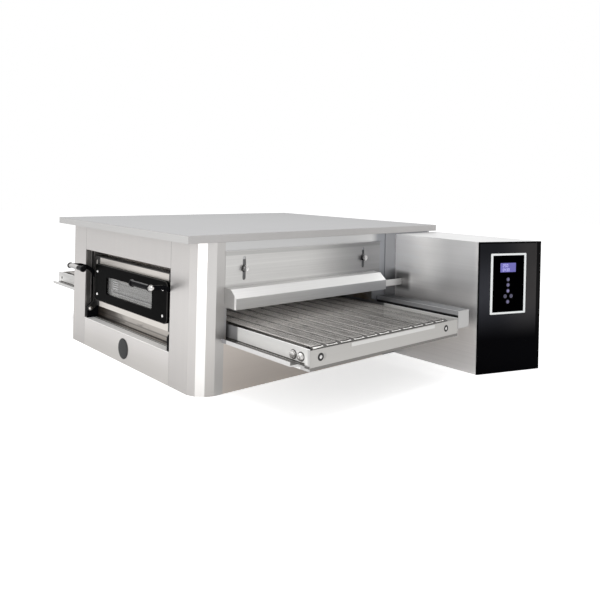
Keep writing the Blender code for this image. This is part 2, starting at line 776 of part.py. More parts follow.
t = frame_sheet
rail = bent([(rail_y0 + runner, rail_bottom), (rail_y0, rail_bottom), (rail_y0, rail_top)],
            t, "x", -conveyor_end_x, conveyor_end_x)
wings = []
for sx in (1, -1):
    x0, x1 = half_x + flange_gap, conveyor_end_x - flange_end
    out = rail_y0 - flange_out
    shape = [(x0, rail_y0 + t / 2), (x0, out + flange_cut), (x0 + flange_cut, out),
             (x1 - flange_cut, out), (x1, out + flange_cut), (x1, rail_y0 + t / 2)]
    wings.append(extrude([(sx * x, y) for x, y in shape], "z", flange_z, flange_z + t))
    lip = sorted((sx * (x0 + flange_cut), sx * (x1 - flange_cut)))
    wings.append(block(*lip, out, out + t, flange_z + t / 2, flange_z + hem))
place("conveyor_side_front", cut(fuse(rail, *wings), *axle_cutters(rail_y0)), STEEL)
rail = bent([(rail_y1, rail_top), (rail_y1, rail_bottom), (rail_y1 - runner, rail_bottom)],
            t, "x", -conveyor_end_x, conveyor_end_x)
place("conveyor_side_rear", cut(rail, *axle_cutters(rail_y1)), STEEL)

between = (rail_y0 + t + gap, rail_y1 - t - gap)
for side, sx in (("right", 1), ("left", -1)):
    plate_x = sorted((sx * (conveyor_end_x - t), sx * conveyor_end_x))
    lip_x = sorted((sx * (conveyor_end_x - t / 2), sx * (conveyor_end_x + end_lip_proud)))
    plate = fuse(block(*plate_x, *between, end_plate_z0, end_plate_z1),
                 block(*lip_x, front + end_lip_front, front + end_lip_rear,
                       end_lip_z0, end_lip_z1))
    place(f"conveyor_end_{side}", plate, STEEL)
    tray_z = rail_bottom + t + gap
    x0, x1 = half_x + 0.004, conveyor_end_x
    outline = [(x0, between[0]), (x1, between[0]), (x1, between[1]), (x0, between[1])]
    pocket = [(x0 + t, between[0] + t), (x1 - t, between[0] + t),
              (x1 - t, between[1] - t), (x0 + t, between[1] - t)]
    place(f"crumb_tray_{side}",
          cup([(sx * x, y) for x, y in outline], [(sx * x, y) for x, y in pocket],
              tray_z + tray_height, tray_z, tray_z + t), STEEL)

stations = []
belt_mid_r = belt_inner_r + belt_thick / 2
loop = 4 * roller_x + 2 * math.pi * belt_mid_r
link = loop / belt_links
for k in range(belt_links):
    stations.append((k * link, False))
    stations.append((k * link + link * belt_rung_share, True))
rail_share = belt_edge / belt_width
lane = (1 - rail_share * (belt_lanes + 1)) / belt_lanes
borders = [0.0]
for k in range(belt_lanes):
    borders += [borders[-1] + rail_share, borders[-1] + rail_share + lane]
borders.append(1.0)
open_rows = [1 + 2 * k for k in range(belt_lanes)]
stations = with_bends(stations, -roller_x, roller_x, belt_mid_r, 12)
points, normals = racetrack(-roller_x, roller_x, axle_z, belt_mid_r, stations)
place("wire_belt", ladder(points, normals, belt_width, borders, open_rows, belt_thick,
                          belt_y), WIRE)

drum0, drum1 = belt_y - belt_width / 2 - 0.004, belt_y + belt_width / 2 + 0.004
idler = [(axle_r, rail_y0 + gap), (axle_r, drum0), (drum_r, drum0), (drum_r, drum1),
         (axle_r, drum1), (axle_r, rail_y1 - gap)]
place("idler_roller", turned("y", (0, 0), [(r, y - belt_y) for r, y in idler], 28), STEEL,
      (-roller_x, belt_y, axle_z), smooth=35)


def sprocket(y_mid, count):
    """Toothed wheel about the local Y axis, teeth between the chain's rollers."""
    root = chain_r - chain_height / 2 - 0.0004
    tip = chain_r + 0.0014
    outline = []
    for k in range(count):
        mid = 2 * math.pi * (k + 0.5) / count
        for radius, turn in ((root, -0.085), (tip, -0.040), (tip, 0.040), (root, 0.085)):
            outline.append((radius * math.cos(mid + turn), radius * math.sin(mid + turn)))
    return extrude(outline, "y", y_mid - sprocket_thick / 2, y_mid + sprocket_thick / 2)


drive = idler[:-1] + [(axle_r, chain_y + 0.004)]
drum = turned("y", (0, 0), [(r, y - belt_y) for r, y in drive], 28)
place("drive_roller", fuse(drum, sprocket(chain_y - belt_y, chain_teeth)), STEEL,
      (roller_x, belt_y, axle_z), smooth=35)

# ------------------------------------------------------- chain and motor
stations = []
arc_link = 2 * math.pi / chain_teeth * chain_r
run_len = chain_gap_links * chain_pitch
half_link = chain_roller_share / 2


def chain_place(k):
    """Distance along the loop of pitch point k, counted in links."""
    half_count = chain_teeth / 2
    if k <= chain_gap_links:
        return k * chain_pitch
    if k <= chain_gap_links + half_count:
        return run_len + (k - chain_gap_links) * arc_link
    if k <= 2 * chain_gap_links + half_count:
        return run_len + half_count * arc_link + (k - chain_gap_links - half_count) * chain_pitch
    return 2 * run_len + half_count * arc_link + (
        k - 2 * chain_gap_links - half_count) * arc_link


links = 2 * chain_gap_links + chain_teeth


def at_wheel(k):
    """True where a roller would stand in the way of a turning tooth.

    The chain is one still band, so its two side plates run round each wheel
    with the teeth free between them, and its rollers fill the straight runs.
    """
    k %= links
    on_arc = chain_teeth / 4 + chain_clear_links
    wheels = (chain_gap_links + chain_teeth / 4, 2 * chain_gap_links + 3 * chain_teeth / 4)
    return k < chain_clear_links or any(abs(k - wheel) < on_arc for wheel in wheels)


for k in range(links):
    stations.append((chain_place(k + half_link), True))
    stations.append((chain_place(k + 1 - half_link), at_wheel(k + 1)))
points, normals = racetrack(motor_x, roller_x, axle_z, chain_r, stations)
chain_width = chain_slot + 2 * chain_plate
share = chain_plate / chain_width
place("drive_chain", ladder(points, normals, chain_width, [0, share, 1 - share, 1], [1],
                            chain_height, chain_y), IRON)

shaft = turned("y", (0, 0), [(shaft_r, -0.004), (shaft_r, shaft_len)], 20)
place("motor_sprocket", fuse(shaft, sprocket(0, chain_teeth)), IRON,
      (motor_x, chain_y, axle_z), smooth=35)

plate_y = chain_y + 0.008
foot = bent([(plate_y, axle_z + bracket_half), (plate_y, frame_sheet + gap),
             (plate_y + bracket_foot, frame_sheet + gap)], -bracket_thick, "x",
            motor_x - bracket_half, motor_x + bracket_half)
clearance = turned("y", (motor_x, axle_z), [(shaft_r + 0.002, plate_y - 0.01),
                                            (shaft_r + 0.002, plate_y + 0.01)], 20)
place("motor_bracket", cut(foot, clearance), GALV)
gear_y = plate_y + bracket_thick + gap
gearbox = block(motor_x - gearbox_half, motor_x + gearbox_half, gear_y, gear_y + gearbox_len,
                axle_z - gearbox_half, axle_z + gearbox_half)
barrel = [(motor_r, gear_y + gearbox_len - 0.002), (motor_r, gear_y + gearbox_len + motor_len),
          (motor_r * 0.85, gear_y + gearbox_len + motor_len + 0.004)]
socket = [(shaft_r + gap, gear_y - 0.01), (shaft_r + gap, chain_y + shaft_len + gap)]
motor = cut(fuse(gearbox, turned("y", (motor_x, axle_z), barrel, 28)),
            turned("y", (motor_x, axle_z), socket, 20))
place("gearmotor", motor, IRON, smooth=35)

t = sheet
x0, x1 = half_x + gap, half_x + guard_reach
y0, y1 = front + guard_front, front + guard_rear
reach = axle_r + 2 * gap
axle_notch = extrude([(roller_x - reach, guard_z0 - 0.01), (roller_x + reach, guard_z0 - 0.01)]
                     + [(roller_x + reach * math.cos(math.pi * k / 10),
                         axle_z + reach * math.sin(math.pi * k / 10)) for k in range(11)],
                     "y", y0 - 0.01, y0 + t + 0.002)
guard = cut(block(x0, x1, y0, y1, guard_z0, guard_z1),
            block(x0 - 0.01, x1 - t, y0 + t, y1 - t, guard_z0 - 0.01, guard_z1 - t),
            axle_notch)
place("chain_guard", guard, STEEL)

# ------------------------------------------------------------ control box
near = Vector((half_x + box_reach_near, front + box_front))
far = Vector((half_x + box_reach_far, rear))
along = (far - near).normalized()
panel_turn = math.atan2(along.y, along.x)
panel_len = (far - near).length
outward = Vector((along.y, -along.x))


def inset_line(depth):
    """Points where the slanted end, moved inward, meets the box's two sides."""
    shift = depth / outward.x
    return near.x - shift, far.x - shift


def box_plan(side_wall, root, end_depth):
    """Plan of the control box, inset by its walls."""
    slope = (far.x - near.x) / (far.y - near.y)
    end_near, _ = inset_line(end_depth)
    y0, y1 = near.y + side_wall, far.y - side_wall
    return [(root, y0), (end_near + (y0 - near.y) * slope, y0),
            (end_near + (y1 - near.y) * slope, y1), (root, y1)]


outer = extrude(box_plan(0, half_x + gap, panel_thick + gap), "z", 0, box_height)
inner = extrude(box_plan(box_wall, half_x + gap + box_wall, -0.02), "z", box_wall,
                box_height - box_wall)
place("control_box_shell", cut(outer, inner), STEEL)

holes = [ring(u, z, button_r + gap, 20) for _, u, z in buttons]
plate = extrude([(0, 0), (panel_len, 0), (panel_len, box_height), (0, box_height)], "y",
                0, panel_thick, holes)
place("control_panel", plate, BLACK, (near.x, near.y, 0), panel_turn)
keypad = extrude(rounded(keypad_u0, keypad_z0, keypad_u1, keypad_z1, keypad_corner), "y",
                 -gap - keypad_thick, -gap, holes)
place("keypad_plate", keypad, BLACK, (near.x, near.y, 0), panel_turn)
crown = gap + keypad_thick + button_proud
for label, u, z in buttons:
    cap = [(0, -crown), (button_r * 0.75, -crown + 0.0002), (button_r, -crown + 0.0008),
           (button_r, button_back), (0, button_back)]
    at = near + along * u
    place(f"button_{label}", turned("y", (0, 0), cap, 20), RUBBER, (at.x, at.y, z),
          panel_turn, smooth=35)
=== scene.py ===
import math

import bpy
import numpy as np
from mathutils import Matrix, Vector


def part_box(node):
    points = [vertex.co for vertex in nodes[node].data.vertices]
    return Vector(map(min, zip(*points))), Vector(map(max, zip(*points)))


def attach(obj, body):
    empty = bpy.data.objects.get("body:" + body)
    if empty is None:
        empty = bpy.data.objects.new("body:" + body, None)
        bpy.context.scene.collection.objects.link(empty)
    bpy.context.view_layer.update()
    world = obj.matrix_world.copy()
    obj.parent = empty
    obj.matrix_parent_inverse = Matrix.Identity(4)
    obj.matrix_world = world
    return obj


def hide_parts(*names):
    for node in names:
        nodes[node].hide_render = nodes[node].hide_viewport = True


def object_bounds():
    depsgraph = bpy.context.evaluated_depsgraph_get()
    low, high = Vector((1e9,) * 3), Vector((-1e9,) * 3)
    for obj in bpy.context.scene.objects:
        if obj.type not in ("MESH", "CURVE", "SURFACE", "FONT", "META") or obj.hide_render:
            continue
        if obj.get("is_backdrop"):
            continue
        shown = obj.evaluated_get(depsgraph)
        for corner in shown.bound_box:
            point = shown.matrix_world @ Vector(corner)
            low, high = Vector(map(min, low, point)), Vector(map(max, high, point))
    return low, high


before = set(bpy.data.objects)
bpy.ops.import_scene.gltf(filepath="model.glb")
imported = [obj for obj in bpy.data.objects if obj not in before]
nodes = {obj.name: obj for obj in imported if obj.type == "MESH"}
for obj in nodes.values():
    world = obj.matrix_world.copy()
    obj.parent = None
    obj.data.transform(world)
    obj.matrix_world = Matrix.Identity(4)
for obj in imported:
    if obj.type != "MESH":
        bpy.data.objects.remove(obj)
cad_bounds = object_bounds()

# ---------------------------------------------------------------- camera
# A long lens a little above the oven's top, off its right front corner. The
# view is level with a slight roll, and the lens is shifted down to the oven.
yaw, roll = math.radians(48.27), math.radians(1.36)
level = Vector((math.cos(yaw), math.sin(yaw), 0))
ahead = Vector((-math.sin(yaw), math.cos(yaw), 0))
upright = Vector((0, 0, 1))
across = level * math.cos(roll) + upright * math.sin(roll)
above = upright * math.cos(roll) - level * math.sin(roll)
lens = bpy.data.cameras.new("camera")
lens.sensor_width, lens.lens, lens.shift_y = 36.0, 38.286, -0.197
camera = bpy.data.objects.new("camera", lens)
camera.matrix_world = (Matrix.Translation((1.9041, -1.4721, 0.5958))
                       @ Matrix((across, above, -ahead)).transposed().to_4x4())
bpy.context.collection.objects.link(camera)
bpy.context.scene.camera = camera
bpy.context.scene.view_settings.view_transform = "Standard"

# ------------------------------------------------- studio light and floor
# A white sweep lit softly from all round, one overhead softbox, and one tall
# softbox off the front right corner that makes the corner's middle fold shine.


class Value:
    """A number on a socket; + - * / and ** on it add Math nodes."""

    def __init__(self, shader, socket):
        self.shader, self.socket = shader, socket

    def maths(self, operation, *values):
        return self.shader.node("ShaderNodeMath", {"operation": operation},
                                dict(enumerate(values)))

    def __add__(self, other):
        return self.maths("ADD", self, other)

    def __sub__(self, other):
        return self.maths("SUBTRACT", self, other)

    def __rsub__(self, other):
        return self.maths("SUBTRACT", other, self)

    def __mul__(self, other):
        return self.maths("MULTIPLY", self, other)

    def __truediv__(self, other):
        return self.maths("DIVIDE", self, other)

    def __pow__(self, other):
        return self.maths("POWER", self, other)

    __radd__, __rmul__ = __add__, __mul__

    def __abs__(self):
        return self.maths("ABSOLUTE", self)

    def least(self, other):
        return self.maths("MINIMUM", self, other)

    def most(self, other):
        return self.maths("MAXIMUM", self, other)

    def step(self, low, high, to=(0.0, 1.0)):
        """Smooth step: to[0] below low, to[1] above high."""
        return self.shader.node("ShaderNodeMapRange", {"interpolation_type": "SMOOTHSTEP"},
                                {0: self, 1: low, 2: high, 3: to[0], 4: to[1]})

    def band(self, low, high, soft):
        """1 between low and high, 0 outside, with edges soft wide."""
        return self.step(low - soft, low) * self.step(high, high + soft, (1.0, 0.0))

    def ridge(self, pitch, share):
        """1 on the first share of every pitch, as a soft-edged wave."""
        wave = self.maths("SINE", self * (2 * math.pi / pitch))
        edge = math.cos(math.pi * share)
        return wave.step(edge - 0.25, edge + 0.25)


class Shader:
    """A node tree under construction, of a material or of the world."""

    def __init__(self, owner):
        owner.use_nodes = True
        self.owner, self.tree = owner, owner.node_tree
        self.tree.nodes.clear()

    def node(self, kind, settings=None, sockets=None, out=0):
        """Add one node: settings first, then its sockets' values or links."""
        made = self.tree.nodes.new(kind)
        for key, value in (settings or {}).items():
            setattr(made, key, value)
        for key, value in (sockets or {}).items():
            if isinstance(value, Value):
                self.tree.links.new(value.socket, made.inputs[key])
            else:
                made.inputs[key].default_value = value
        return Value(self, made.outputs[out]) if made.outputs else None

    def mix(self, share, low, high):
        """Colour between low and high by share."""
        pair = {0: share}
        for key, colour in ((6, low), (7, high)):
            pair[key] = colour if isinstance(colour, Value) else (*colour, 1)
        return self.node("ShaderNodeMix", {"data_type": "RGBA", "clamp_factor": True},
                         pair, out=2)

    def times(self, colour, factor):
        """Colour scaled by a number."""
        return self.node("ShaderNodeVectorMath", {"operation": "SCALE"},
                         {0: colour, 3: factor})

    def noise(self, stretch, detail=2.0, roughness=0.5):
        """Noise over the object, its grain scaled on each axis by stretch."""
        at = self.node("ShaderNodeMapping", None, {0: self.place, 3: stretch})
        return self.node("ShaderNodeTexNoise", None,
                         {0: at, "Scale": 1.0, "Detail": detail, "Roughness": roughness})

    def bump(self, height, distance, strength=1.0):
        """Fine relief: a height of 1 stands distance metres off the surface."""
        return self.node("ShaderNodeBump", None,
                         {"Height": height, "Distance": distance, "Strength": strength})

    @property
    def place(self):
        """The object coordinates as one vector."""
        return self.node("ShaderNodeTexCoord", out=3)

    def xyz(self):
        """The three object coordinates in metres."""
        split = self.node("ShaderNodeSeparateXYZ", None, {0: self.place})
        return [Value(self, s) for s in split.socket.node.outputs]

    def surface(self, **sockets):
        """Principled shader to the output; names as on the shader, _ for spaces."""
        named = {key.replace("_", " "): value for key, value in sockets.items()}
        bsdf = self.node("ShaderNodeBsdfPrincipled", None, named)
        self.node("ShaderNodeOutputMaterial", None, {0: bsdf})
        return self.owner


sky = Shader(bpy.context.scene.world or bpy.data.worlds.new("sky"))
bpy.context.scene.world = sky.owner
ray = sky.node("ShaderNodeLightPath").socket.node.outputs
seen = Value(sky, ray["Is Camera Ray"]).most(
    Value(sky, ray["Is Glossy Ray"])).most(Value(sky, ray["Is Transmission Ray"]))
glow = sky.node("ShaderNodeBackground", None, {0: (1, 1, 1, 1), 1: seen.step(0, 1, (0.62, 1.0))})
sky.node("ShaderNodeOutputWorld", None, {0: glow})

for label, size, place, aim, watts in (
        ("softbox_over", (2.6, 2.0), (0.3, -0.4, 2.6), (0.1, 0, 0.2), 60),
        ("softbox_corner", (0.70, 1.5), (1.45, -2.05, 0.55), (0.42, -0.48, 0.2), 11)):
    lamp = bpy.data.lights.new(label, "AREA")
    lamp.shape, lamp.size, lamp.size_y, lamp.energy = "RECTANGLE", *size, watts
    holder = bpy.data.objects.new(label, lamp)
    holder.location = place
    holder.rotation_euler = (Vector(aim) - Vector(place)).to_track_quat("-Z", "Y").to_euler()
    bpy.context.collection.objects.link(holder)

ground = bpy.data.meshes.new("floor")
ground.from_pydata([(x, y, 0) for x, y in ((-9, -9), (9, -9), (9, 9), (-9, 9))], [],
                   [(0, 1, 2, 3)])
floor = bpy.data.objects.new("floor", ground)
bpy.context.collection.objects.link(floor)
floor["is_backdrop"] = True
paint = Shader(bpy.data.materials.new("floor"))
ray = paint.node("ShaderNodeLightPath").socket.node.outputs
seen = paint.mix(Value(paint, ray["Is Glossy Ray"]), (0, 0, 0), (0.30, 0.30, 0.30))
seen = paint.mix(Value(paint, ray["Is Camera Ray"]), seen, (0.66, 0.66, 0.66))
ground.materials.append(paint.surface(
    Base_Color=(0.78, 0.78, 0.78, 1), Roughness=0.9, Specular_IOR_Level=0.0,
    Emission_Color=seen, Emission_Strength=1.0))

# ------------------------------------------------------- casing and posts
# Folded stainless sheet, brushed along its length before it is bent. Four
# posts carry the corners, each folded in three flat facets, and the front
# panels and end panels hang between them with a hairline seam at each joint.


def tone(red, green, blue):
    """Linear colour of a tone given as it is seen, 0 to 255."""
    seen = np.array((red, green, blue)) / 255
    linear = np.where(seen < 0.04045, seen / 12.92, ((seen + 0.055) / 1.055) ** 2.4)
    return tuple(float(v) for v in linear)


def finish(*names):
    """Start a material and give it to the named CAD nodes."""
    made = bpy.data.materials.new(names[0] + "_finish")
    for name in names:
        data = nodes[name].data
        data.materials.clear()
        data.materials.append(made)
    return Shader(made)


def brushed(shader, colour, along, rough=0.38, streak=0.05, blotch=0.05, metal=0.85,
            dark=None):
    """Brushed sheet: fine streaks along one axis over broad faint clouds.
    dark, where given, is a number from 0 to 1 that darkens the sheet, for seams, marks and painted
    shade."""
    fine = shader.noise([3.0 if axis == along else 380.0 for axis in "xyz"], 3.0, 0.6)
    wide = shader.noise([0.8 if axis == along else 60.0 for axis in "xyz"], 2.0, 0.6)
    cloud = shader.noise((4.0, 4.0, 5.0), 2.0)
    shade = 1 + (fine - 0.5) * streak + (wide - 0.5) * streak * 0.8 + (cloud - 0.5) * blotch
    if dark is not None:
        shade = shade * (1 - dark)
    return shader.surface(
        Base_Color=shader.times(colour, shade), Metallic=metal,
        Roughness=(fine - 0.5) * 0.10 + rough, Normal=shader.bump(fine, 0.00001))


half_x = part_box("top_plate")[1].x
front_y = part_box("front_upper_panel")[0].y
opening_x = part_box("front_upper_panel")[1].x
sill_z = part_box("hinge_bracket_right")[0].z

front_tone = tone(207, 204, 202)
skin = finish("front_upper_panel", "corner_post_front_right", "corner_post_front_left")
x, y, z = skin.xyz()
side = abs(x)
seam = side.band(opening_x - 0.0004, opening_x + 0.0007, 0.0005) * y.step(
    front_y + 0.004, front_y + 0.002)
inside = y.step(front_y + 0.0015, front_y + 0.006) * side.step(opening_x + 0.012, opening_x + 0.003)
# painted shade in the door's recess: the jamb's grey return is painted darker, less so at its top and
# foot, with a painted highlight on each of its two folds and a painted black shadow in the gap
# between them
fold = y.band(front_y + 0.0188, front_y + 0.0218, 0.0008)
fold = fold.most(y.band(front_y + 0.0296, front_y + 0.0322, 0.0008) * 0.8)
gap_shadow = y.band(front_y + 0.0224, front_y + 0.0290, 0.0008)
jamb_light = z.step(0.235, 0.285).most(z.step(0.175, 0.145))
jamb = inside * (jamb_light * -0.16 + 0.78 + gap_shadow * 0.20 - fold * 0.42)
# how far a point of the folded corner is from each of the two flat flanges
from_side, from_front = half_x - side, y - front_y
turn, fold_at = from_front - from_side, 0.0190
foot = z.step(0.30, 0.05)
middle = abs(turn).step(fold_at + 0.0005, fold_at - 0.0005)
middle = middle * (from_side + from_front).step(0.050, 0.047)
flank = turn.step(fold_at - 0.0005, fold_at + 0.0005) * from_side.step(0.045, 0.040)
flange = from_front.step(0.0535, 0.0545) * from_side.step(0.004, 0.002)
# painted light: the middle facet is painted lighter, most of all low down, as a painted highlight;
# the flank and side flange are painted darker as painted shade, and the front face and flank darker
# towards the foot
colour = skin.mix(foot, front_tone, tone(190, 187, 185))
colour = skin.mix(middle, colour, skin.mix(foot, tone(214, 212, 210), tone(226, 224, 222)))
colour = skin.mix(flank, colour, skin.mix(foot, tone(204, 202, 200), tone(186, 183, 180)))
colour = skin.mix(flange, colour, tone(190, 188, 186))
brushed(skin, colour, "z", dark=seam * 0.5 + jamb)

skin = finish("front_lower_panel")
x, y, z = skin.xyz()
kick = y.step(front_y + 0.036, front_y + 0.042)
ledge = z.step(sill_z - 0.003, sill_z - 0.001) * (1 - kick)
# the sheet's turned-up foot, in painted shadow: a black line, a bright one, a black one
ledge_shadow = y.band(front_y + 0.0275, front_y + 0.0315, 0.0006)
ledge_shadow = ledge_shadow.most(y.step(front_y + 0.0338, front_y + 0.0346)) * ledge
smear = skin.noise((9.0, 1.0, 70.0), 3.0, 0.65)
# painted shade under the door: the kick plate is painted darker than the front, darkest on its left
# part, with a lighter band at its top
kick_tone = skin.mix(z.step(sill_z + 0.0155, sill_z + 0.0175), tone(168, 161, 154),
                     tone(184, 178, 172))
kick_tone = skin.mix(x.step(-0.05, -0.16), kick_tone, tone(78, 70, 64))
# painted shadow lines in the kick plate's crease and along its foot
crease_shadow = z.band(sill_z + 0.0175, sill_z + 0.0215, 0.0012) * 0.5
foot_shadow = z.band(sill_z + 0.0020, sill_z + 0.0065, 0.0010) * 0.85
# painted light: the ledge is painted near white on its upward face, and painted shade darkens the
# front towards its bottom
colour = skin.mix(ledge, skin.mix(z.step(0.09, 0.03), front_tone, tone(199, 196, 193)),
                  tone(255, 254, 252))
brushed(skin, skin.mix(kick, colour, kick_tone), "x", metal=0.85 - ledge * 0.75 - kick * 0.30,
        dark=(kick * (smear.step(0.48, 0.66) * 0.55).most(foot_shadow).most(crease_shadow)).most(
            ledge_shadow * 0.88))

side_tone, far_tone, low_tone = tone(186, 186, 187), tone(136, 138, 142), tone(206, 198, 191)
skin = finish("end_panel_right", "end_panel_left")
x, y, z = skin.xyz()
# painted light: the right end panel is painted darker towards the rear, a painted highlight runs
# along the band above the damper, and the low part is painted lighter to make up for its shade
colour = skin.mix(y.step(-0.35, 0.26) * x.step(0, 0.1), side_tone, far_tone)
colour = skin.mix(z.step(0.392, 0.398) * y.step(0.20, 0.16), colour, tone(200, 200, 200))
# painted shadow: the panel is painted dark behind the damper's slots
screw = [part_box(f"thumbscrew_right_{end}") for end in ("front", "rear")]
slot_half, slot_foot, slot_head = 0.006, 0.311, 0.3705
slot_shadow = [y.band((a.y + b.y) / 2 - slot_half, (a.y + b.y) / 2 + slot_half, 0.001)
          for a, b in screw]
slot_shadow = slot_shadow[0].most(slot_shadow[1]) * z.band(slot_foot, slot_head, 0.003)
brushed(skin, skin.mix(z.step(0.20, 0.13), colour, low_tone), "y", dark=slot_shadow * 0.72)

skin = finish("corner_post_rear_right", "corner_post_rear_left")
x, y, z = skin.xyz()
shade = x.step(half_x - 0.003, half_x - 0.001)
# the chain guard and the end of the hood's strap shade the post beside them
over_guard = (z.band(0.204, 0.236, 0.008) * 0.36).most(z.band(0.1900, 0.2010, 0.003) * 0.66)
by_strap = z.band(0.262, 0.292, 0.012) * y.step(0.245, 0.285) * 0.50
brushed(skin, skin.mix(shade, tone(184, 184, 186), tone(137, 138, 141)), "z",
        dark=shade * over_guard.most(by_strap))

plate_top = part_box("top_plate")[1].z
skin = finish("top_plate")
x, y, z = skin.xyz()
# painted light: the top face is painted darker than the front edge, and the right edge a little
# darker, as lit and shaded copies of one sheet
right_edge = x.step(half_x - 0.0012, half_x - 0.0006)
top_edge = z.step(plate_top - 0.0006, plate_top - 0.0002)
colour = skin.mix(top_edge, tone(200, 199, 198), tone(150, 150, 151))
brushed(skin, skin.mix(right_edge, colour, tone(185, 183, 182)), "x", rough=0.46, metal=0.4)

# ---------------------------------------------------- rear panel and pan
# The back is one louvred sheet, the bottom a shallow tray of zinc-coated
# steel whose crystals show as faint angular flakes.


def galvanised(shader):
    """Zinc coat: angular crystals that differ in shade and in gloss."""
    zinc = (0.46, 0.47, 0.48)
    crystal = shader.node("ShaderNodeTexVoronoi", {"feature": "F1"},
                          {"Vector": shader.place, "Scale": 75.0, "Randomness": 1.0}, out=1)
    grey = shader.node("ShaderNodeRGBToBW", None, {0: crystal})
    cloud = shader.noise((30, 30, 30), 3.0)
    shade = 0.82 + grey * 0.26 + (cloud - 0.5) * 0.16
    return shader.surface(Base_Color=shader.times(zinc, shade), Metallic=1.0,
                          Roughness=grey * 0.18 + 0.34,
                          Normal=shader.bump(cloud, 0.00006))


brushed(finish("rear_panel"), tone(186, 187, 189), "x")
galvanised(finish("base_pan"))

# ---------------------------------------------------- baking chamber
# The inner box is aluminised sheet that has gone straw and brown from heat.
# Mineral wool lies above and below it, and two bent tube elements heat it.
for name in ("chamber_floor", "chamber_front_wall", "chamber_rear_wall", "chamber_ceiling"):
    skin = finish(name)
    # painted light: the front wall, seen above the door in the recess's shade, is painted paler than
    # the other walls
    pale = name == "chamber_front_wall"
    bake = skin.noise((9, 9, 12), 4.0, 0.6)
    spot = skin.noise((140, 140, 140), 3.0)
    tan = skin.mix(bake.step(0.35, 0.7), *(((0.88, 0.84, 0.80), (0.70, 0.63, 0.56)) if pale
                                           else ((0.36, 0.35, 0.34), (0.24, 0.19, 0.14))))
    skin.surface(Base_Color=skin.times(tan, 0.85 + spot * 0.3), Metallic=0.2 if pale else 0.9,
                 Roughness=bake * 0.25 + 0.34, Normal=skin.bump(spot, 0.00008))
for name in ("insulation_top", "insulation_bottom"):
    skin = finish(name)
    fibre = skin.noise((700, 260, 700), 4.0, 0.7)
    clump = skin.noise((60, 60, 60), 3.0)
    skin.surface(Base_Color=skin.mix(fibre * 0.6 + clump * 0.4, (0.36, 0.30, 0.18),
                                     (0.72, 0.66, 0.50)),
                 Roughness=0.95, Normal=skin.bump(fibre + clump, 0.0012, 0.8))
for name in ("upper_heating_element", "lower_heating_element"):
    skin = finish(name)
    scale = skin.noise((260, 260, 260), 3.0, 0.6)
    skin.surface(Base_Color=skin.mix(scale, (0.05, 0.045, 0.042), (0.16, 0.13, 0.11)),
                 Metallic=0.8, Roughness=scale * 0.3 + 0.42, Normal=skin.bump(scale, 0.0001))

# ------------------------------------------------------------- the door
# A brushed steel slab with a stamped black frame screwed over it, and a pane
# held between the two. Its lower ears turn on pins in two black brackets.


def lathe(axis, centre, profile, count=28, start=0.0):
    """Profile of (radius, distance) pairs turned about an axis through centre.
    Point = centre + radius (cos a, sin a) across the axis + distance along it."""
    radius, along = np.array(profile, float).T
    angle = start + np.arange(count) * 2 * math.pi / count
    wheel = np.empty((len(radius), count, 3))
    i, j, k = {"x": (1, 2, 0), "y": (2, 0, 1), "z": (0, 1, 2)}[axis]
    wheel[..., i] = np.outer(radius, np.cos(angle))
    wheel[..., j] = np.outer(radius, np.sin(angle))
    wheel[..., k] = along[:, None]
    return wheel + np.array(centre)


def skin_faces(rows, columns, first=0, ring=False):
    """Quads of one tube-like grid, closed round its columns, and either capped
    at its two ends or, for a ring, joined last row to first."""
    at = first + np.arange(rows * columns).reshape(rows, columns)
    after = np.roll(at, -1, axis=0) if ring else at[1:]
    here = at if ring else at[:-1]
    quads = np.stack([here, np.roll(here, -1, axis=1), np.roll(after, -1, axis=1), after], -1)
    caps = [] if ring else [at[0][::-1].tolist(), at[-1].tolist()]
    return quads.reshape(-1, 4).tolist() + caps


def outward(tube):
    """The same grid, its rows reversed if the surface would face inwards:
    the sum of each quad's area normal times its place is then negative."""
    at = tube - tube.mean((0, 1))
    beside = np.roll(at, -1, axis=1)
    flux = np.cross(beside[:-1] - at[:-1], at[1:] - at[:-1]) * at[:-1]
    return tube if flux.sum() >= 0 else tube[::-1]


def piece(name, tubes, material, body, smooth=35, ring=False):
    """One closed mesh per tube grid, all in one object that rides on a body."""
    points, faces, count = [], [], 0
    for tube in map(outward, tubes):
        rows, columns = tube.shape[:2]
        faces += skin_faces(rows, columns, count, ring)
        points.append(tube.reshape(-1, 3))
        count += rows * columns
    mesh = bpy.data.meshes.new(name)
    mesh.from_pydata(np.concatenate(points).tolist(), [], faces)
    mesh.materials.append(material)
    mesh.shade_smooth()
    mesh.set_sharp_from_angle(angle=math.radians(smooth))
    made = bpy.data.objects.new(name, mesh)
    bpy.context.collection.objects.link(made)
    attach(made, body)
    return made


def rounded_box(u, z, u0, u1, z0, z1, radius):
    """Distance outside a round-cornered rectangle, negative inside it."""
    du = abs(u - (u0 + u1) / 2) - ((u1 - u0) / 2 - radius)
    dz = abs(z - (z0 + z1) / 2) - ((z1 - z0) / 2 - radius)
    return (du.most(0) ** 2 + dz.most(0) ** 2) ** 0.5 - radius


door_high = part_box("door_panel")[1]
frame_low, frame_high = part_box("door_frame")
glass_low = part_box("door_glass")[0]
skin = finish("door_panel")
x, y, z = skin.xyz()
side = abs(x)
# painted shade and reflection: the front face outside the steel field, and the foot, are painted
# black for the jamb's and header's shade and dark reflection
steel_half, steel_top, steel_foot = 0.2365, 0.3125, 0.1420
paint = side.step(steel_half - 0.0005, steel_half + 0.0005)
paint = paint.most(z.step(steel_top - 0.0005, steel_top + 0.0005))
paint = paint * y.step(door_high.y - 0.001, door_high.y - 0.002)
paint = paint.most(z.step(steel_foot + 0.0005, steel_foot - 0.0005))
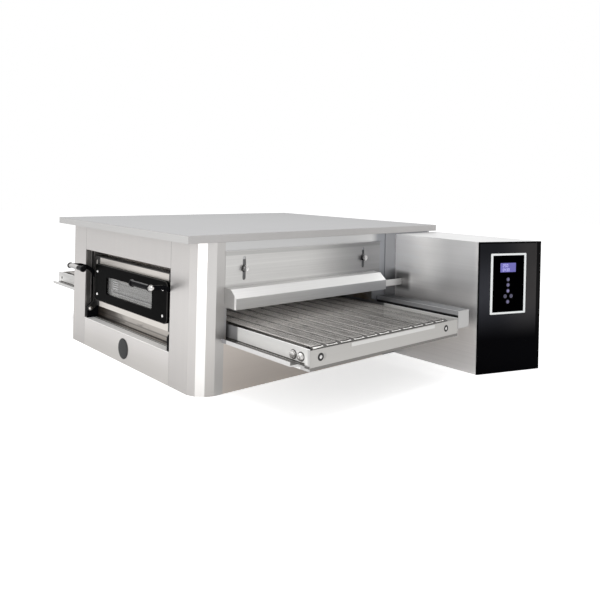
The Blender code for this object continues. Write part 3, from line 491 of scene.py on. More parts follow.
# a painted highlight: a light line down each side beside the frame
rub = side.band(0.2590, 0.2640, 0.0010) * z.band(0.165, 0.300, 0.004) * y.step(
    frame_high.y + 0.002, frame_high.y + 0.001)
colour = skin.mix(paint * (1 - rub), tone(216, 211, 205), tone(26, 25, 25))
brushed(skin, colour, "x", metal=0.80 - paint * 0.75)

skin = finish("door_frame")
x, y, z = skin.xyz()
pebble = skin.noise((900, 900, 900), 3.0, 0.6)
wipe = skin.noise((6, 30, 30), 3.0)
# painted highlight: a paler line along the frame's outer edge
rim_highlight = rounded_box(x, z, frame_low.x, frame_high.x, frame_low.z, frame_high.z, 0.016)
rim_highlight = rim_highlight.step(-0.0022, -0.0008) * y.step(frame_low.y + 0.004, frame_low.y + 0.002)
enamel = skin.mix(wipe, (0.0010, 0.0010, 0.0010), (0.0035, 0.0035, 0.0035))
skin.surface(Base_Color=skin.mix(rim_highlight, enamel, (0.060, 0.058, 0.056)),
             Roughness=wipe * 0.14 + 0.26, Normal=skin.bump(pebble, 0.00003),
             Specular_IOR_Level=0.01)

# two panes, seen as one: the inner pane's clips and seal show as faint lines
skin = finish("door_glass")
x, y, z = skin.xyz()
haze = skin.noise((22, 22, 22), 4.0, 0.6)
streak = skin.noise((6, 20, 420), 3.0, 0.6)
glass_x, glass_z = glass_low.x, glass_low.z
seal = rounded_box(x, z, glass_x + 0.034, 0.4, glass_z + 0.0150, 0.4, 0.014)
line = abs(seal).step(0.0026, 0.0012)
second = abs(rounded_box(x, z, glass_x + 0.082, 0.4, glass_z + 0.0062, 0.4, 0.006))
line = line.most(second.step(0.0020, 0.0008) * 0.7)
clip = x.band(glass_x + 0.042, glass_x + 0.074, 0.003) * z.band(
    glass_z + 0.026, glass_z + 0.053, 0.002)
rack = clip * z.ridge(0.0072, 0.5)
margin = x.step(glass_x + 0.031, glass_x + 0.028)
pale = skin.mix(margin * 0.8, (0.46, 0.46, 0.45), (0.13, 0.13, 0.13))
edge_glint = x.band(glass_x + 0.0285, glass_x + 0.0330, 0.0012) * z.step(
    glass_z + 0.012, glass_z + 0.020)
pale = skin.mix(edge_glint * 0.8, pale, (0.85, 0.85, 0.85))
pale = skin.mix(clip * 0.7, pale, (0.66, 0.66, 0.66))
pale = skin.mix(rack * 0.9, pale, (0.02, 0.02, 0.02))
pale = skin.mix(line * 0.85, pale, (0.030, 0.030, 0.030))
skin.surface(Base_Color=skin.times(pale, streak * 0.6 + 0.70), Roughness=haze * 0.06 + 0.03,
             Alpha=haze * 0.12 + 0.36 + clip * 0.3 + line * 0.35, Specular_IOR_Level=0.8)

# screws: domed bright heads at the four corners of the black frame
screw_tone = (0.78, 0.77, 0.76)
skin = Shader(bpy.data.materials.new("bright_screw"))
turned_grain = skin.noise((500, 500, 500), 2.0)
screw_steel = skin.surface(Base_Color=skin.times(screw_tone, turned_grain * 0.2 + 0.9),
                           Metallic=1.0, Roughness=turned_grain * 0.12 + 0.14)
seat, shift, spread = frame_low.y, -0.005, 0.2265
heads = []
for sx in (-1, 1):
    for up in (0.187, 0.266):
        heads.append(lathe("y", (sx * spread + shift, seat, up),
                           [(0.0016, -0.0004), (0.0018, -0.0010), (0.0030, -0.0026),
                            (0.0044, -0.0020), (0.0050, -0.0008), (0.0050, 0.0004)], 20))
piece("door_frame_screws", heads, screw_steel, "door")

# ---------------------------------------------- handle arms and brackets
# Black cast levers hook round the door's edge and carry a short round grip
# each. The left grip is bright steel with a black cap, the right grip black.
hub_y, hub_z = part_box("door_grip_right")[0].y + 0.0105, 0.286
acorn_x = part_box("door_arm_right")[1].x - 0.0125
for name in ("door_arm_right", "door_arm_left", "hinge_bracket_right",
             "hinge_bracket_left", "door_grip_right"):
    skin = finish(name)
    x, y, z = skin.xyz()
    grain = skin.noise((700, 700, 700), 3.0)
    rub = skin.noise((40, 60, 60), 3.0)
    from_hub = ((y - hub_y) ** 2 + (z - hub_z) ** 2) ** 0.5
    # the bright acorn nut: the left one shows more of its side
    nut_r, nut_side = (0.0114, 0.007) if name == "door_arm_left" else (0.0092, 0)
    nut = from_hub.step(nut_r + 0.0003, nut_r - 0.0003) * abs(x).step(
        acorn_x - nut_side, acorn_x + 0.0006)
    # painted highlight: a pale line along the top of the right grip
    crest_highlight = z.step(hub_z + 0.0060, hub_z + 0.0072) * y.band(hub_y - 0.0055, hub_y + 0.0010, 0.001)
    cast = skin.mix(rub, (0.002, 0.002, 0.003), (0.007, 0.007, 0.008))
    if name == "door_grip_right":
        cast = skin.mix(crest_highlight * 0.7, cast, (0.20, 0.20, 0.20))
    skin.surface(Base_Color=skin.mix(nut, cast, (0.62, 0.61, 0.60)), Metallic=nut,
                 Roughness=rub * 0.16 + 0.20 - nut * 0.10, Specular_IOR_Level=0.02,
                 Normal=skin.bump(grain, 0.00004))
grip_low, grip_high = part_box("door_grip_left")
skin = finish("door_grip_left")
x, y, z = skin.xyz()
cap = x.step(grip_high.x - 0.0420, grip_high.x - 0.0410)
grain = skin.noise((500, 60, 60), 3.0)
# painted shade and highlight: the bright grip is painted darker on its lower half and paler at its
# far tip
under = skin.mix(z.step(hub_z + 0.002, hub_z - 0.003), (0.58, 0.57, 0.56), (0.24, 0.24, 0.24))
tip = x.step(grip_low.x + 0.0060, grip_low.x + 0.0050)
under = skin.mix(tip * 0.8, under, (0.72, 0.71, 0.70))
skin.surface(Base_Color=skin.mix(cap, under, (0.004, 0.004, 0.005)), Specular_IOR_Level=0.10,
             Metallic=1 - cap - tip * 0.7, Roughness=grain * 0.14 + 0.16 + cap * 0.1,
             Normal=skin.bump(grain, 0.00003))

# hinge bolts: a domed head on the inner face of each bracket
skin = Shader(bpy.data.materials.new("hinge_bolt"))
grain = skin.noise((500, 500, 500), 2.0)
hinge_steel = skin.surface(Base_Color=skin.times((0.60, 0.58, 0.56), grain * 0.3 + 0.85),
                           Metallic=1.0, Roughness=grain * 0.16 + 0.20)
pin_y, pin_z = front_y + 0.012, 0.130
for side, sx in (("right", 1), ("left", -1)):
    low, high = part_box(f"hinge_bracket_{side}")
    inner_x = min(sx * low.x, sx * high.x)
    reach = np.array((-0.0005, 0.0008, 0.0010, 0.0036, 0.0052, 0.0056))
    radius = (0.0074, 0.0074, 0.0060, 0.0058, 0.0038, 0.0008)
    bolt = lathe("x", (0, pin_y, pin_z),
                 list(zip(radius, sx * (inner_x - reach))), 24)
    piece(f"hinge_bolt_{side}", [bolt], hinge_steel, "casing")

# ----------------------------------------------------------------- badge
# A plain dark button with a low dome, turned from enamelled metal. It is
# stuck on the middle of the lower front panel.
skin = Shader(bpy.data.materials.new("badge"))
speck = skin.noise((800, 800, 800), 2.0)
badge_x, badge_z = 0.0085, 0.0475
badge = lathe("y", (badge_x, front_y, badge_z),
              [(0.0325, -0.0001), (0.0330, -0.0006), (0.0326, -0.0012), (0.0310, -0.0015),
               (0.0200, -0.0017), (0.0010, -0.0018)], 64)
piece("front_badge", [badge],
      skin.surface(Base_Color=skin.mix(speck, (0.024, 0.024, 0.025), (0.038, 0.038, 0.040)),
                   Roughness=speck * 0.1 + 0.30, Specular_IOR_Level=0.12), "casing")

# ------------------------------------------------------ dampers and hoods
# Each end has a flat steel plate that slides up and down on two thumbscrews,
# and a folded hood is spot-welded along its lower edge to hold the heat in.
skin = finish("damper_panel_right", "damper_panel_left")
x, y, z = skin.xyz()
fold_shade = z.band(0.3860, 0.3950, 0.003) * 0.18
step_shade = z.band(0.2944, 0.3030, 0.002) * 0.12
# painted shade: the damper plates are painted darker towards the rear
colour = skin.mix(y.step(-0.15, 0.17), tone(206, 205, 203), tone(136, 136, 137))
brushed(skin, colour, "y", rough=0.34, streak=0.24, blotch=0.10, dark=fold_shade + step_shade)

hood_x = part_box("hood_right")[1].x
skin = finish("hood_right", "hood_left")
x, y, z = skin.xyz()
out = abs(x)
fold = hood_x - 0.0015
front_face = out.step(fold, fold + 0.0012)
# painted light: the hood's outer face is painted darker, and its other faces lighter, towards the
# rear; the near cheek is painted darker inside and lighter at its outer edge
far = y.step(-0.44, 0.17)
outer_face_shade = skin.mix(far, tone(189, 188, 186), tone(176, 177, 179))
slope = skin.mix(far, tone(196, 195, 194), tone(223, 223, 222))
cheek_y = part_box("hood_right")[0].y
cheek = y.step(cheek_y + 0.0010, cheek_y + 0.0002)
edge = out.step(hood_x - 0.0090, hood_x - 0.0075)
colour = skin.mix(front_face, slope, outer_face_shade)
colour = skin.mix(cheek, colour, skin.mix(edge, tone(163, 162, 161), tone(228, 227, 226)))
brushed(skin, colour, "y", rough=0.36, streak=0.16, blotch=0.10)

# thumbscrews: a dark washer under a bright knob with eight flats
skin = Shader(bpy.data.materials.new("thumbscrew"))
x, y, z = skin.xyz()
depth = abs(x)
wear = skin.noise((420, 420, 420), 2.0)
plate_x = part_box("damper_panel_right")[0].x + 0.0012
washer = depth.step(plate_x + 0.0022, plate_x + 0.0018)
# painted shadow: each knob is painted dark on its side towards the front
knob_shadow = [y.band((a.y + b.y) / 2 - 0.012, (a.y + b.y) / 2 - 0.0045, 0.003) for a, b in screw]
knob_shadow = knob_shadow[0].most(knob_shadow[1])
knob_steel = skin.surface(
    Base_Color=skin.mix(washer.most(knob_shadow * 0.8), (0.60, 0.59, 0.58), (0.05, 0.05, 0.052)),
    Metallic=1.0,
    Roughness=wear * 0.14 + 0.12 + washer * 0.2, Normal=skin.bump(wear, 0.00002))
flats = 1 - 0.07 * (np.cos(np.arange(48) * 2 * math.pi / 48 * 8) > 0.1)
for side, sx in (("right", 1), ("left", -1)):
    for end in ("front", "rear"):
        name = f"thumbscrew_{side}_{end}"
        low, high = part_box(name)
        mid_y, mid_z = (low.y + high.y) / 2, (low.z + high.z) / 2
        inner, outer = sorted((abs(low.x), abs(high.x)))
        knob = lathe("x", (0, 0, 0),
                     [(0.0036, inner + 0.0002), (0.0036, plate_x + 0.0004),
                      (0.0098, plate_x + 0.0004), (0.0099, plate_x + 0.0019),
                      (0.0070, plate_x + 0.0022), (0.0070, plate_x + 0.0032),
                      (0.0092, plate_x + 0.0036), (0.0097, plate_x + 0.0046),
                      (0.0097, outer - 0.0014), (0.0088, outer - 0.0002),
                      (0.0050, outer - 0.0002), (0.0044, outer - 0.0008),
                      (0.0010, outer - 0.0008)], 48)
        knob[6:10, :, 1:] *= flats[None, :, None]
        knob = knob * (sx, 1, 1) + (0, mid_y, mid_z)
        made = piece(name + "_knob", [knob], knob_steel, name + "_body", 30)
        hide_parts(name)

# --------------------------------------------------- conveyor side plates
# Two folded side plates run through the oven and out of both ends. Their
# wings are spot-welded on, and a hemmed edge stiffens each wing.
rail_low, rail_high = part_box("conveyor_side_front")
end_x = rail_high.x
axle_z = (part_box("idler_roller")[0].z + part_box("idler_roller")[1].z) / 2
roller_x = (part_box("drive_roller")[0].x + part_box("drive_roller")[1].x) / 2
plate_y = rail_low.y + 0.036        # the front plate's face, behind its wing
skin = finish("conveyor_side_front", "conveyor_side_rear")
x, y, z = skin.xyz()
out = abs(x)
shaded = out.step(half_x + 0.050, half_x + 0.040)
# a painted shadow line runs under the wing, from its hem to the plate
wing_shadow = z.band(0.1500, 0.1532, 0.0004) * y.step(plate_y - 0.0014, plate_y - 0.0020)
wing_shadow = wing_shadow * y.step(rail_low.y + 0.0010, rail_low.y + 0.0016)
# past the hem the wing is bright again, and the plate's foot carries the painted shadow line on
wing_tip = out.step(end_x - 0.0335, end_x - 0.0315)
wing_shadow = wing_shadow * (1 - wing_tip * y.step(plate_y - 0.0070, plate_y - 0.0090))
past_wing = out.step(end_x - 0.0190, end_x - 0.0170)
foot = (z.band(0.1455, 0.1512, 0.0008) * past_wing).most(
    z.band(0.1500, 0.1566, 0.0008) * (1 - past_wing))
wing_shadow = wing_shadow.most(foot * y.step(plate_y - 0.0006, plate_y - 0.0002) * y.step(
    plate_y + 0.0006, plate_y + 0.0002))
# painted light: the plate's outer face is painted lighter towards its foot, darker at its very end
# and at the wing's tip, with a painted highlight along its top edge
lower = z.step(rail_high.z - 0.006, rail_high.z - 0.034)
near = skin.mix(lower, tone(214, 213, 211), tone(255, 254, 252))
near = skin.mix(wing_tip * z.step(0.1545, 0.1535), near, tone(196, 195, 194))
near = skin.mix(out.step(end_x - 0.012, end_x - 0.002) * 0.8, near, tone(176, 175, 174))
near = skin.mix(shaded, near, tone(142, 142, 144))
hemmed = y.step(rail_low.y + 0.0010, rail_low.y + 0.0006) * (1 - shaded)
near = skin.mix(hemmed, near, tone(206, 205, 204))
near = skin.mix(wing_shadow, near, tone(96, 94, 92))
brink_highlight = z.step(rail_high.z - 0.0012, rail_high.z - 0.0006) * (1 - shaded)
brushed(skin, skin.mix(brink_highlight, near, tone(252, 252, 251)), "x", rough=0.42,
        metal=0.85 - (1 - shaded) * (1 - hemmed) * 0.55)
skin = finish("conveyor_end_right", "conveyor_end_left")
x, y, z = skin.xyz()
lip = abs(x).step(end_x + 0.0001, end_x + 0.0006)
greasy = ((y + 0.379) ** 2 + (z - axle_z) ** 2) ** 0.5
# painted light: the end plate's outer lip is painted lighter than its face
brushed(skin, skin.mix(lip, tone(176, 174, 171), tone(203, 202, 200)), "y", rough=0.34,
        dark=greasy.step(0.010, 0.005) * 0.16)
brushed(finish("crumb_tray_right", "crumb_tray_left"), tone(120, 118, 115), "y")

# bolts: one round nut and one hex head on dark washers at the driven end of the
# front side plate, two small rivets at its idle end, and a belt-tension screw in
# a dark ring at both sides of each end plate
skin = Shader(bpy.data.materials.new("conveyor_bolt"))
grain = skin.noise((600, 600, 600), 2.0)
bolt_steel = skin.surface(Base_Color=skin.times((0.66, 0.65, 0.64), grain * 0.30 + 0.80),
                          Metallic=1.0, Roughness=grain * 0.16 + 0.16,
                          Normal=skin.bump(grain, 0.00004))
bolts, washers = [], []
nut_x, hex_x = roller_x + 0.0012, roller_x - 0.0275
bolts.append(lathe("y", (nut_x, plate_y, axle_z),
                   [(0.0100, 0.0003), (0.0100, -0.0016), (0.0092, -0.0020),
                    (0.0090, -0.0064), (0.0076, -0.0084), (0.0042, -0.0086),
                    (0.0040, -0.0070), (0.0008, -0.0070)], 28))
bolts.append(lathe("y", (hex_x, plate_y, axle_z),
                   [(0.0102, 0.0003), (0.0102, -0.0017), (0.0080, -0.0018)], 28))
bolts.append(lathe("y", (hex_x, plate_y - 0.0017, axle_z),
                   [(0.0094, 0.0), (0.0094, -0.0052), (0.0080, -0.0062),
                    (0.0008, -0.0063)], 6, start=0.3))
for at_x in (nut_x, hex_x):
    washers.append(lathe("y", (at_x, plate_y, axle_z),
                         [(0.0118, 0.0003), (0.0120, -0.0004), (0.0112, -0.0009),
                          (0.0060, -0.0009)], 28))
for up in (axle_z - 0.009, axle_z + 0.005):
    bolts.append(lathe("y", (-end_x + 0.0065, plate_y, up),
                       [(0.0018, 0.0003), (0.0018, -0.0002), (0.0006, -0.0004)], 12))
piece("conveyor_bolts", bolts, bolt_steel, "casing")
nuts, rings, tension_y = [], [], (-0.391, 0.1233)
for sx in (-1, 1):
    for at_y in tension_y:
        nuts.append(lathe("x", (sx * end_x, at_y, axle_z),
                          [(0.0044, -sx * 0.0004), (0.0044, sx * 0.0006),
                           (0.0034, sx * 0.0011), (0.0006, sx * 0.0012)], 18))
        rings.append(lathe("x", (sx * end_x, at_y, axle_z),
                           [(0.0098, -sx * 0.0004), (0.0100, sx * 0.0003),
                            (0.0090, sx * 0.0006), (0.0044, sx * 0.0005)], 28))
piece("tension_screws", nuts, bolt_steel, "casing")
# painted shade: each dark ring stands for the shaded recess round a tension screw; the dark washers
# share its material
skin = Shader(bpy.data.materials.new("tension_recess"))
ring_mottle = skin.noise((300, 300, 300), 2.0)
dark_ring_metal = skin.surface(
    Base_Color=skin.mix(ring_mottle, (0.012, 0.012, 0.012), (0.035, 0.034, 0.033)),
    Metallic=0.4, Roughness=ring_mottle * 0.2 + 0.4)
piece("tension_recesses", rings, dark_ring_metal, "casing")
piece("bolt_washers", washers, dark_ring_metal, "casing")

# ------------------------------------------------------------- wire belt
# Round stainless wires lie across the belt. Each is bent to and fro like a
# square wave and hooks into the next, so the bends stand in lines along the
# belt and the straight runs in two staggered rows.
belt_low, belt_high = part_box("wire_belt")
wire_r, wire_pitch, wave, hook = 0.00115, 0.0086, 0.051, 0.52
belt_r = (belt_high.z - belt_low.z) / 2 - 0.0013
belt_mid = (belt_low.y + belt_high.y) / 2
belt_half = (belt_high.y - belt_low.y) / 2
run = 2 * roller_x
loop = 2 * run + 2 * math.pi * belt_r


def on_belt(along, height):
    """Point on the belt's loop: along the top run towards +x, round the end,
    back along the bottom run and round the other end; height is outwards."""
    along = np.mod(along, loop)
    half_turn = math.pi * belt_r
    turn = np.clip((along - run) / belt_r, 0, math.pi)
    turn += np.clip((along - 2 * run - half_turn) / belt_r, 0, math.pi)
    top = np.clip(along, 0, run)
    bottom = np.clip(along - run - half_turn, 0, run)
    reach = belt_r + height
    return np.stack([top - bottom - roller_x + reach * np.sin(turn),
                     axle_z + reach * np.cos(turn)], -1)


def wires():
    """All wires as one grid: (wire, station, corner, xyz). Across the belt a
    wire's place along it is its own pitch plus a square wave of hook pitches.
    Its four corners lie on a ring that is turned to the wave's slope."""
    count, start = round(loop / wire_pitch), 0.45
    periods = round(2 * belt_half / wave)
    width = 2 * belt_half / periods
    share = np.array((0.02, 0.66, 0.71, 0.97))
    side = np.array((1.0, 1.0, -1.0, -1.0))
    across = (np.arange(periods)[:, None] + share).ravel() * width - belt_half
    sway = np.tile(side, periods)
    across = np.concatenate([[-belt_half], across, [belt_half]])
    sway = np.concatenate([[sway[0]], sway, [sway[-1]]])
    corner = math.pi / 4 + np.arange(4) * math.pi / 2
    pitch = loop / count
    along = ((np.arange(count) + start) * pitch)[:, None] + sway * pitch * hook
    slope = np.gradient(sway * pitch * hook, across)
    lean = 1 / np.sqrt(1 + slope ** 2)
    # hooked pairs stand together on the end rollers, so the rungs look thick
    turning = np.clip((np.abs(on_belt(along, 0 * along)[..., 0]) - roller_x) / (0.3 * belt_r), 0, 1)
    thick = wire_r * (1 + 1.7 * turning)[..., None]
    fore = thick * np.cos(corner) * lean[None, :, None]
    drift = -thick * np.cos(corner) * (slope * lean)[None, :, None]
    rise = sway * (0.7 + 1.2 * turning) * wire_r - 0.0030 * turning
    lift = thick * np.sin(corner) + rise[..., None]
    spots = np.empty((count, len(across), 4, 3))
    flat = on_belt(along[:, :, None] + fore, lift)
    spots[..., 0], spots[..., 2] = flat[..., 0], flat[..., 1]
    spots[..., 1] = belt_mid + across[None, :, None] + drift
    return spots


skin = Shader(bpy.data.materials.new("belt_wire"))
x, y, z = skin.xyz()
out = abs(x)
heat = skin.noise((16, 40, 16), 3.0, 0.6)
glint = skin.noise((260, 90, 260), 3.0, 0.7)
# painted light: the belt is painted brighter inside the tunnel to make up for its shade, gets a
# painted highlight where it turns round the rollers, and is painted darker towards the rear
tunnel_light = out.step(half_x + 0.20, half_x + 0.01)
turn_highlight = out.step(roller_x + belt_r * 0.30, roller_x + belt_r * 0.62)
colour = skin.mix(tunnel_light, tone(226, 223, 220), tone(254, 250, 246))
colour = skin.mix(turn_highlight, colour, tone(252, 250, 247))
belt_shade = 1 - y.step(belt_mid - 0.06, belt_mid + 0.24) * 0.40 * (1 - turn_highlight)
# painted shade: the short inner runs of each wire are painted dull
past = (out - roller_x).most(0)
layer = (past ** 2 + (z - axle_z) ** 2) ** 0.5 - belt_r
belt_shade = belt_shade * layer.step(-0.0008, 0.0002, (0.38, 1.0))
belt_steel = skin.surface(
    Base_Color=skin.times(colour, (0.42 + heat * 0.40 + glint * 0.72) * belt_shade),
    Metallic=0.40 - turn_highlight * 0.35, Roughness=glint * 0.2 + 0.20)
belt = piece("belt_wires", list(wires()), belt_steel, "casing", 50)
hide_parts("wire_belt")

# one closed round wire along each edge of the belt holds the cross wires' ends
edge_r = 0.0012
turns = np.linspace(0, loop, 145)[:-1]
corner = np.arange(6) * math.pi / 3
edges = []
for at_y in (belt_mid - belt_half + edge_r, belt_mid + belt_half - edge_r):
    flat = on_belt(turns[:, None], edge_r * np.sin(corner)[None])
    beside = at_y + np.broadcast_to(edge_r * np.cos(corner), flat.shape[:2])
    edges.append(np.stack([flat[..., 0], beside, flat[..., 1]], -1))
piece("belt_edges", edges, belt_steel, "casing", 60, ring=True)

# ------------------------------------------------ rollers, chain and motor
# Turned steel drums carry the belt. A roller chain from the gearmotor inside
# the casing turns the drive roller's sprocket, under a folded guard.
for name in ("idler_roller", "drive_roller"):
    skin = finish(name)
    scuff = skin.noise((50, 500, 50), 3.0, 0.6)
    skin.surface(Base_Color=skin.mix(scuff, (0.05, 0.048, 0.045), (0.17, 0.165, 0.16)),
                 Metallic=1.0, Roughness=scuff * 0.25 + 0.28, Normal=skin.bump(scuff, 0.00005))
for name in ("drive_chain", "motor_sprocket"):
    skin = finish(name)
    oil = skin.noise((220, 220, 220), 3.0)
    skin.surface(Base_Color=skin.mix(oil, (0.035, 0.033, 0.032), (0.16, 0.15, 0.14)),
                 Metallic=0.9, Roughness=oil * 0.35 + 0.22, Normal=skin.bump(oil, 0.0001))
galvanised(finish("motor_bracket"))
skin = finish("gearmotor")
cast = skin.noise((380, 380, 380), 4.0, 0.65)
skin.surface(Base_Color=skin.mix(cast, (0.035, 0.037, 0.042), (0.085, 0.088, 0.095)),
             Metallic=0.2, Roughness=cast * 0.2 + 0.45, Normal=skin.bump(cast, 0.0003))
guard_low, guard_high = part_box("chain_guard")
rear_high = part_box("conveyor_side_rear")[1]
skin = finish("chain_guard")
x, y, z = skin.xyz()
# painted light: the guard's top is painted darker near the casing, its near ridge lighter as a
# painted highlight, its inner face lighter outwards, and its end face a grey of its own
end_face = x.step(guard_high.x - 0.0008, guard_high.x - 0.0002)
reach_out = x.step(half_x, guard_high.x)
colour = skin.mix(reach_out, tone(62, 62, 65), tone(134, 136, 139))
ridge = y.step(guard_low.y + 0.0046, guard_low.y + 0.0036)
colour = skin.mix(ridge, colour, skin.mix(reach_out, tone(150, 151, 153), tone(236, 237, 238)))
inner = y.step(guard_low.y + 0.0012, guard_low.y + 0.0006)
gap_shade = z.step(rear_high.z + 0.007, rear_high.z + 0.003)
inner_tone = skin.mix(reach_out, tone(160, 161, 164), tone(208, 209, 212))
colour = skin.mix(inner, colour, skin.mix(gap_shade, inner_tone, tone(40, 40, 41)))
brushed(skin, skin.mix(end_face, colour, tone(181, 180, 179)), "x", rough=0.32)

# ----------------------------------------------------------- control box
# A folded brushed box stands off the oven's right side behind the belt. Its
# slanted end is closed by a glossy black panel.
box_low, box_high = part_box("control_box_shell")
skin = finish("control_box_shell")
x, y, z = skin.xyz()
near_side = y.step(box_low.y + 0.0012, box_low.y + 0.0004)
patch = skin.noise((7.0, 3.0, 6.0), 2.0)
# painted light on the near side: brightest high up near the oven, greyer further out, lighter again
# at the far end
sweep = (x - half_x) / 0.34
upper = skin.mix(sweep.step(0.30, 0.70), tone(255, 254, 253), tone(195, 195, 196))
lit = skin.mix(z.step(0.21, 0.30), tone(218, 216, 215), upper)
lit = skin.mix(sweep.step(0.92, 1.0) * 0.4, lit, tone(228, 227, 226))
# soft grey patches stand for the conveyor's reflection in the near side
shadow = x.band(0.458, 0.500, 0.020) * z.band(0.238, 0.280, 0.018)
haze = sweep.band(0.60, 0.85, 0.15) * z.band(0.225, 0.270, 0.03) * 0.10
lit = skin.mix((shadow * 0.75).most(haze), lit, tone(60, 58, 58))
# painted light: the top face is painted lighter than the far faces
top = z.step(box_high.z - 0.0008, box_high.z - 0.0002)
colour = skin.mix(near_side, tone(182, 183, 185), lit)
brushed(skin, skin.mix(top, colour, tone(216, 216, 216)), "x", streak=0.14,
        dark=(patch - 0.5) * 0.20)

# The panel's own direction: u runs along its foot from the near corner.
panel_near, panel_far = Vector((0.7834, 0.291)), Vector((0.867, 0.524))
panel_dir = (panel_far - panel_near).normalized()
panel_out = Vector((panel_dir.y, -panel_dir.x))


def along_panel(shader):
    """Distance along the panel's foot, in metres, and the height."""
    x, y, z = shader.xyz()
    return (x - panel_near.x) * panel_dir.x + (y - panel_near.y) * panel_dir.y, z


skin = finish("control_panel")
u, z = along_panel(skin)
smudge = skin.noise((12, 12, 12), 4.0, 0.6)
# painted reflection: the glossy black panel is painted greyer above its lower part, more so towards
# its far end, and darker again near its top
glow, far = z.step(0.10, 0.25), u.step(0.06, 0.20)
deep = skin.mix(glow, (0.0004, 0.0004, 0.0010), (0.037, 0.038, 0.045))
deep = skin.mix(far * glow, deep, (0.050, 0.047, 0.047))
deep = skin.times(deep, 1 - z.step(0.27, 0.40) * (1 - far * 0.7) * 0.6)
# the sheet is folded back at its edges, which leaves a blacker border
span = (panel_far - panel_near).length
border = u.step(0.0042, 0.0034).most(u.step(span - 0.0175, span - 0.0165)).most(
    z.step(box_high.z - 0.0062, box_high.z - 0.0054))
deep = skin.mix(border * 0.85, deep, (0.0006, 0.0006, 0.0009))
skin.surface(Base_Color=skin.times(deep, 0.85 + smudge * 0.3), Roughness=smudge * 0.05 + 0.10,
             Specular_IOR_Level=0.015, Normal=skin.bump(smudge, 0.00003))

# --------------------------------------------------------------- keypad
# A printed film on a thin plate: white border, black field, a backlit
# display window and six domed keys with a lamp under each.
key_low, key_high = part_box("keypad_plate")
key_u0, key_u1 = 0.0458, 0.1858
skin = finish("keypad_plate")
u, z = along_panel(skin)
border = rounded_box(u, z, key_u0 + 0.0080, key_u1 - 0.0080, key_low.z + 0.0062,
                     key_high.z - 0.0062, 0.001).step(-0.0003, 0.0003)
dust = skin.noise((500, 500, 500), 3.0)
skin.surface(Base_Color=skin.mix(border, (0.0004, 0.0004, 0.0005), (0.93, 0.95, 0.95)),
             Roughness=dust * 0.12 + 0.24, Specular_IOR_Level=0.0,
             Normal=skin.bump(dust, 0.00002))


def on_panel(u, z, height):
    """World point at u along the panel, z up and height off its face."""
    u, z, height = np.broadcast_arrays(u, z, height)
    face = panel_out * plate_face
    return np.stack([panel_near.x + face.x + u * panel_dir.x + height * panel_out.x,
                     panel_near.y + face.y + u * panel_dir.y + height * panel_out.y, z], -1)


# how far the keypad plate's face stands off the line of the panel's foot
corner = np.array([v.co for v in nodes["keypad_plate"].data.vertices])[:, :2]
plate_face = float(((corner - np.array(panel_near)) @ np.array(panel_out)).max())


def tile(u0, u1, z0, z1, low, high, radius):
    """Low round-cornered block on the panel: its outline at three heights, the
    top one drawn in, so that its edge is bevelled."""
    turn = np.arange(24) * 2 * math.pi / 24 + math.pi / 24
    cu = np.where(np.cos(turn) > 0, u1 - radius, u0 + radius)
    cz = np.where(np.sin(turn) > 0, z1 - radius, z0 + radius)
    rows = []
    for inset, height in ((0, low), (0, high - 0.0002), (0.0002, high)):
        rows.append(on_panel(cu + (radius - inset) * np.cos(turn),
                             cz + (radius - inset) * np.sin(turn), height))
    return np.array(rows)


skin = Shader(bpy.data.materials.new("display"))
u, z = along_panel(skin)
wash = skin.noise((40, 40, 60), 2.0)
window = (0.0829, 0.1438, 0.3215, 0.3509)
margin = rounded_box(u, z, *window, 0.001).step(-0.0065, -0.0020)
glowing = skin.mix(margin, tone(64, 58, 158), tone(106, 100, 192))
piece("display_window", [tile(*window, -0.0002, 0.0006, 0.0008)],
      skin.surface(Base_Color=(0.05, 0.05, 0.10, 1), Roughness=wash * 0.05 + 0.10,
                   Emission_Color=skin.times(glowing, wash * 0.4 + 0.62),
                   Emission_Strength=0.8), "casing")

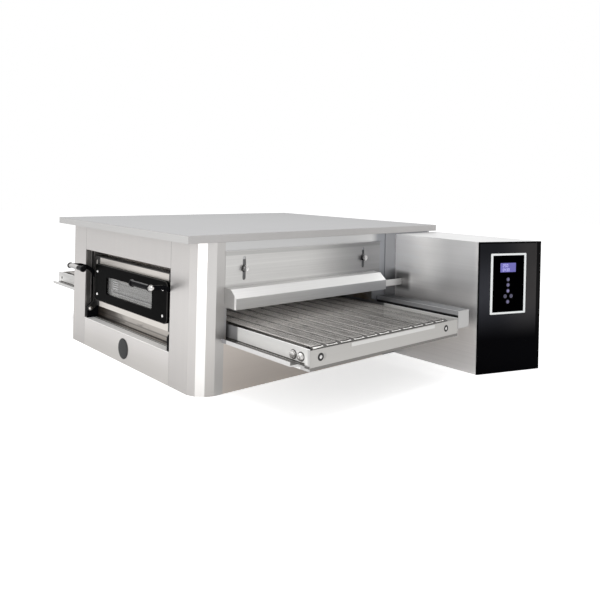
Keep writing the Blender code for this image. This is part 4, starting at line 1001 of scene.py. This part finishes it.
# seven-stroke figures: degrees above, baking time below. A span gives where a
# stroke starts and ends, as shares of the figure's width and height.
strokes = {"0": "abcdef", "2": "abged", "3": "abgcd", "4": "fgbc", "5": "afgcd"}
spans = {"a": (0, 1, 1, 1), "b": (1, .5, 1, 1), "c": (1, 0, 1, .5), "d": (0, 0, 1, 0),
         "e": (0, 0, 0, .5), "f": (0, .5, 0, 1), "g": (0, .5, 1, .5)}
bars, figures_u, stroke_half = [], 0.0925, 0.0006
for text, foot, tall in (("250", 0.3382, 0.0085), ("0430", 0.3248, 0.0080)):
    wide = tall * 0.52
    for k, figure in enumerate(text):
        left = figures_u + k * wide * 1.7
        for stroke in strokes[figure]:
            a, b, c, d = spans[stroke]
            bars.append(tile(left + a * wide - stroke_half, left + c * wide + stroke_half,
                             foot + b * tall - stroke_half, foot + d * tall + stroke_half,
                             0.0004, 0.0009, 0.0004))
skin = Shader(bpy.data.materials.new("display_figures"))
wash = skin.noise((90, 90, 90), 2.0)
piece("display_figures", bars,
      skin.surface(Base_Color=(0.2, 0.2, 0.3, 1), Roughness=wash * 0.1 + 0.2,
                   Emission_Color=skin.times((0.40, 0.38, 0.74), wash * 0.2 + 0.9),
                   Emission_Strength=1.0), "casing")

# how strongly each key is lit from behind
lamps = {"up": 0.60, "set": 0.62, "down": 1.05, "minus": 0.16, "plus": 0.20, "power": 0.62}
for name, power in lamps.items():
    low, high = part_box("button_" + name)
    centre = (low + high) / 2
    skin = finish("button_" + name)
    x, y, z = skin.xyz()
    du = (x - centre.x) * panel_dir.x + (y - centre.y) * panel_dir.y
    dz = z - centre.z
    reach = (du ** 2 + dz ** 2) ** 0.5
    lamp = reach.step(0.0056, 0.0034)
    ring = reach.band(0.0046, 0.0056, 0.0006)
    flat_bar = rounded_box(du, dz, -0.0022, 0.0022, -0.0006, 0.0006, 0.0002)
    tall_bar = rounded_box(du, dz, -0.0006, 0.0006, -0.0022, 0.0022, 0.0002)
    mark = {"minus": flat_bar, "plus": flat_bar.least(tall_bar), "power": tall_bar}.get(name)
    if mark is None:
        # up and down show a chevron, set a short bar, each cut to a disc
        tilt = {"up": 1, "down": -1, "set": 0}[name]
        arm = dz * (tilt or 1) + abs(du) * abs(tilt)
        mark = abs(arm - 0.0012 * abs(tilt)) - 0.0006
        mark = mark.most(reach - 0.0026)
    sign = mark.step(0.0003, -0.0002)
    violet = skin.mix(sign, (0.15, 0.13, 0.30), (0.46, 0.42, 0.66))
    skin.surface(Base_Color=(0.02, 0.02, 0.03, 1), Roughness=lamp * 0.1 + 0.25,
                 Emission_Color=skin.times(violet, lamp * power + ring * 0.30), Emission_Strength=1.0)

# ------------------------------------------------------- size of the whole
# The object's own box, as modelled in CAD and with the pieces above on it.
size = {"cad": [list(corner) for corner in cad_bounds],
        "visual": [list(corner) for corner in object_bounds()]}
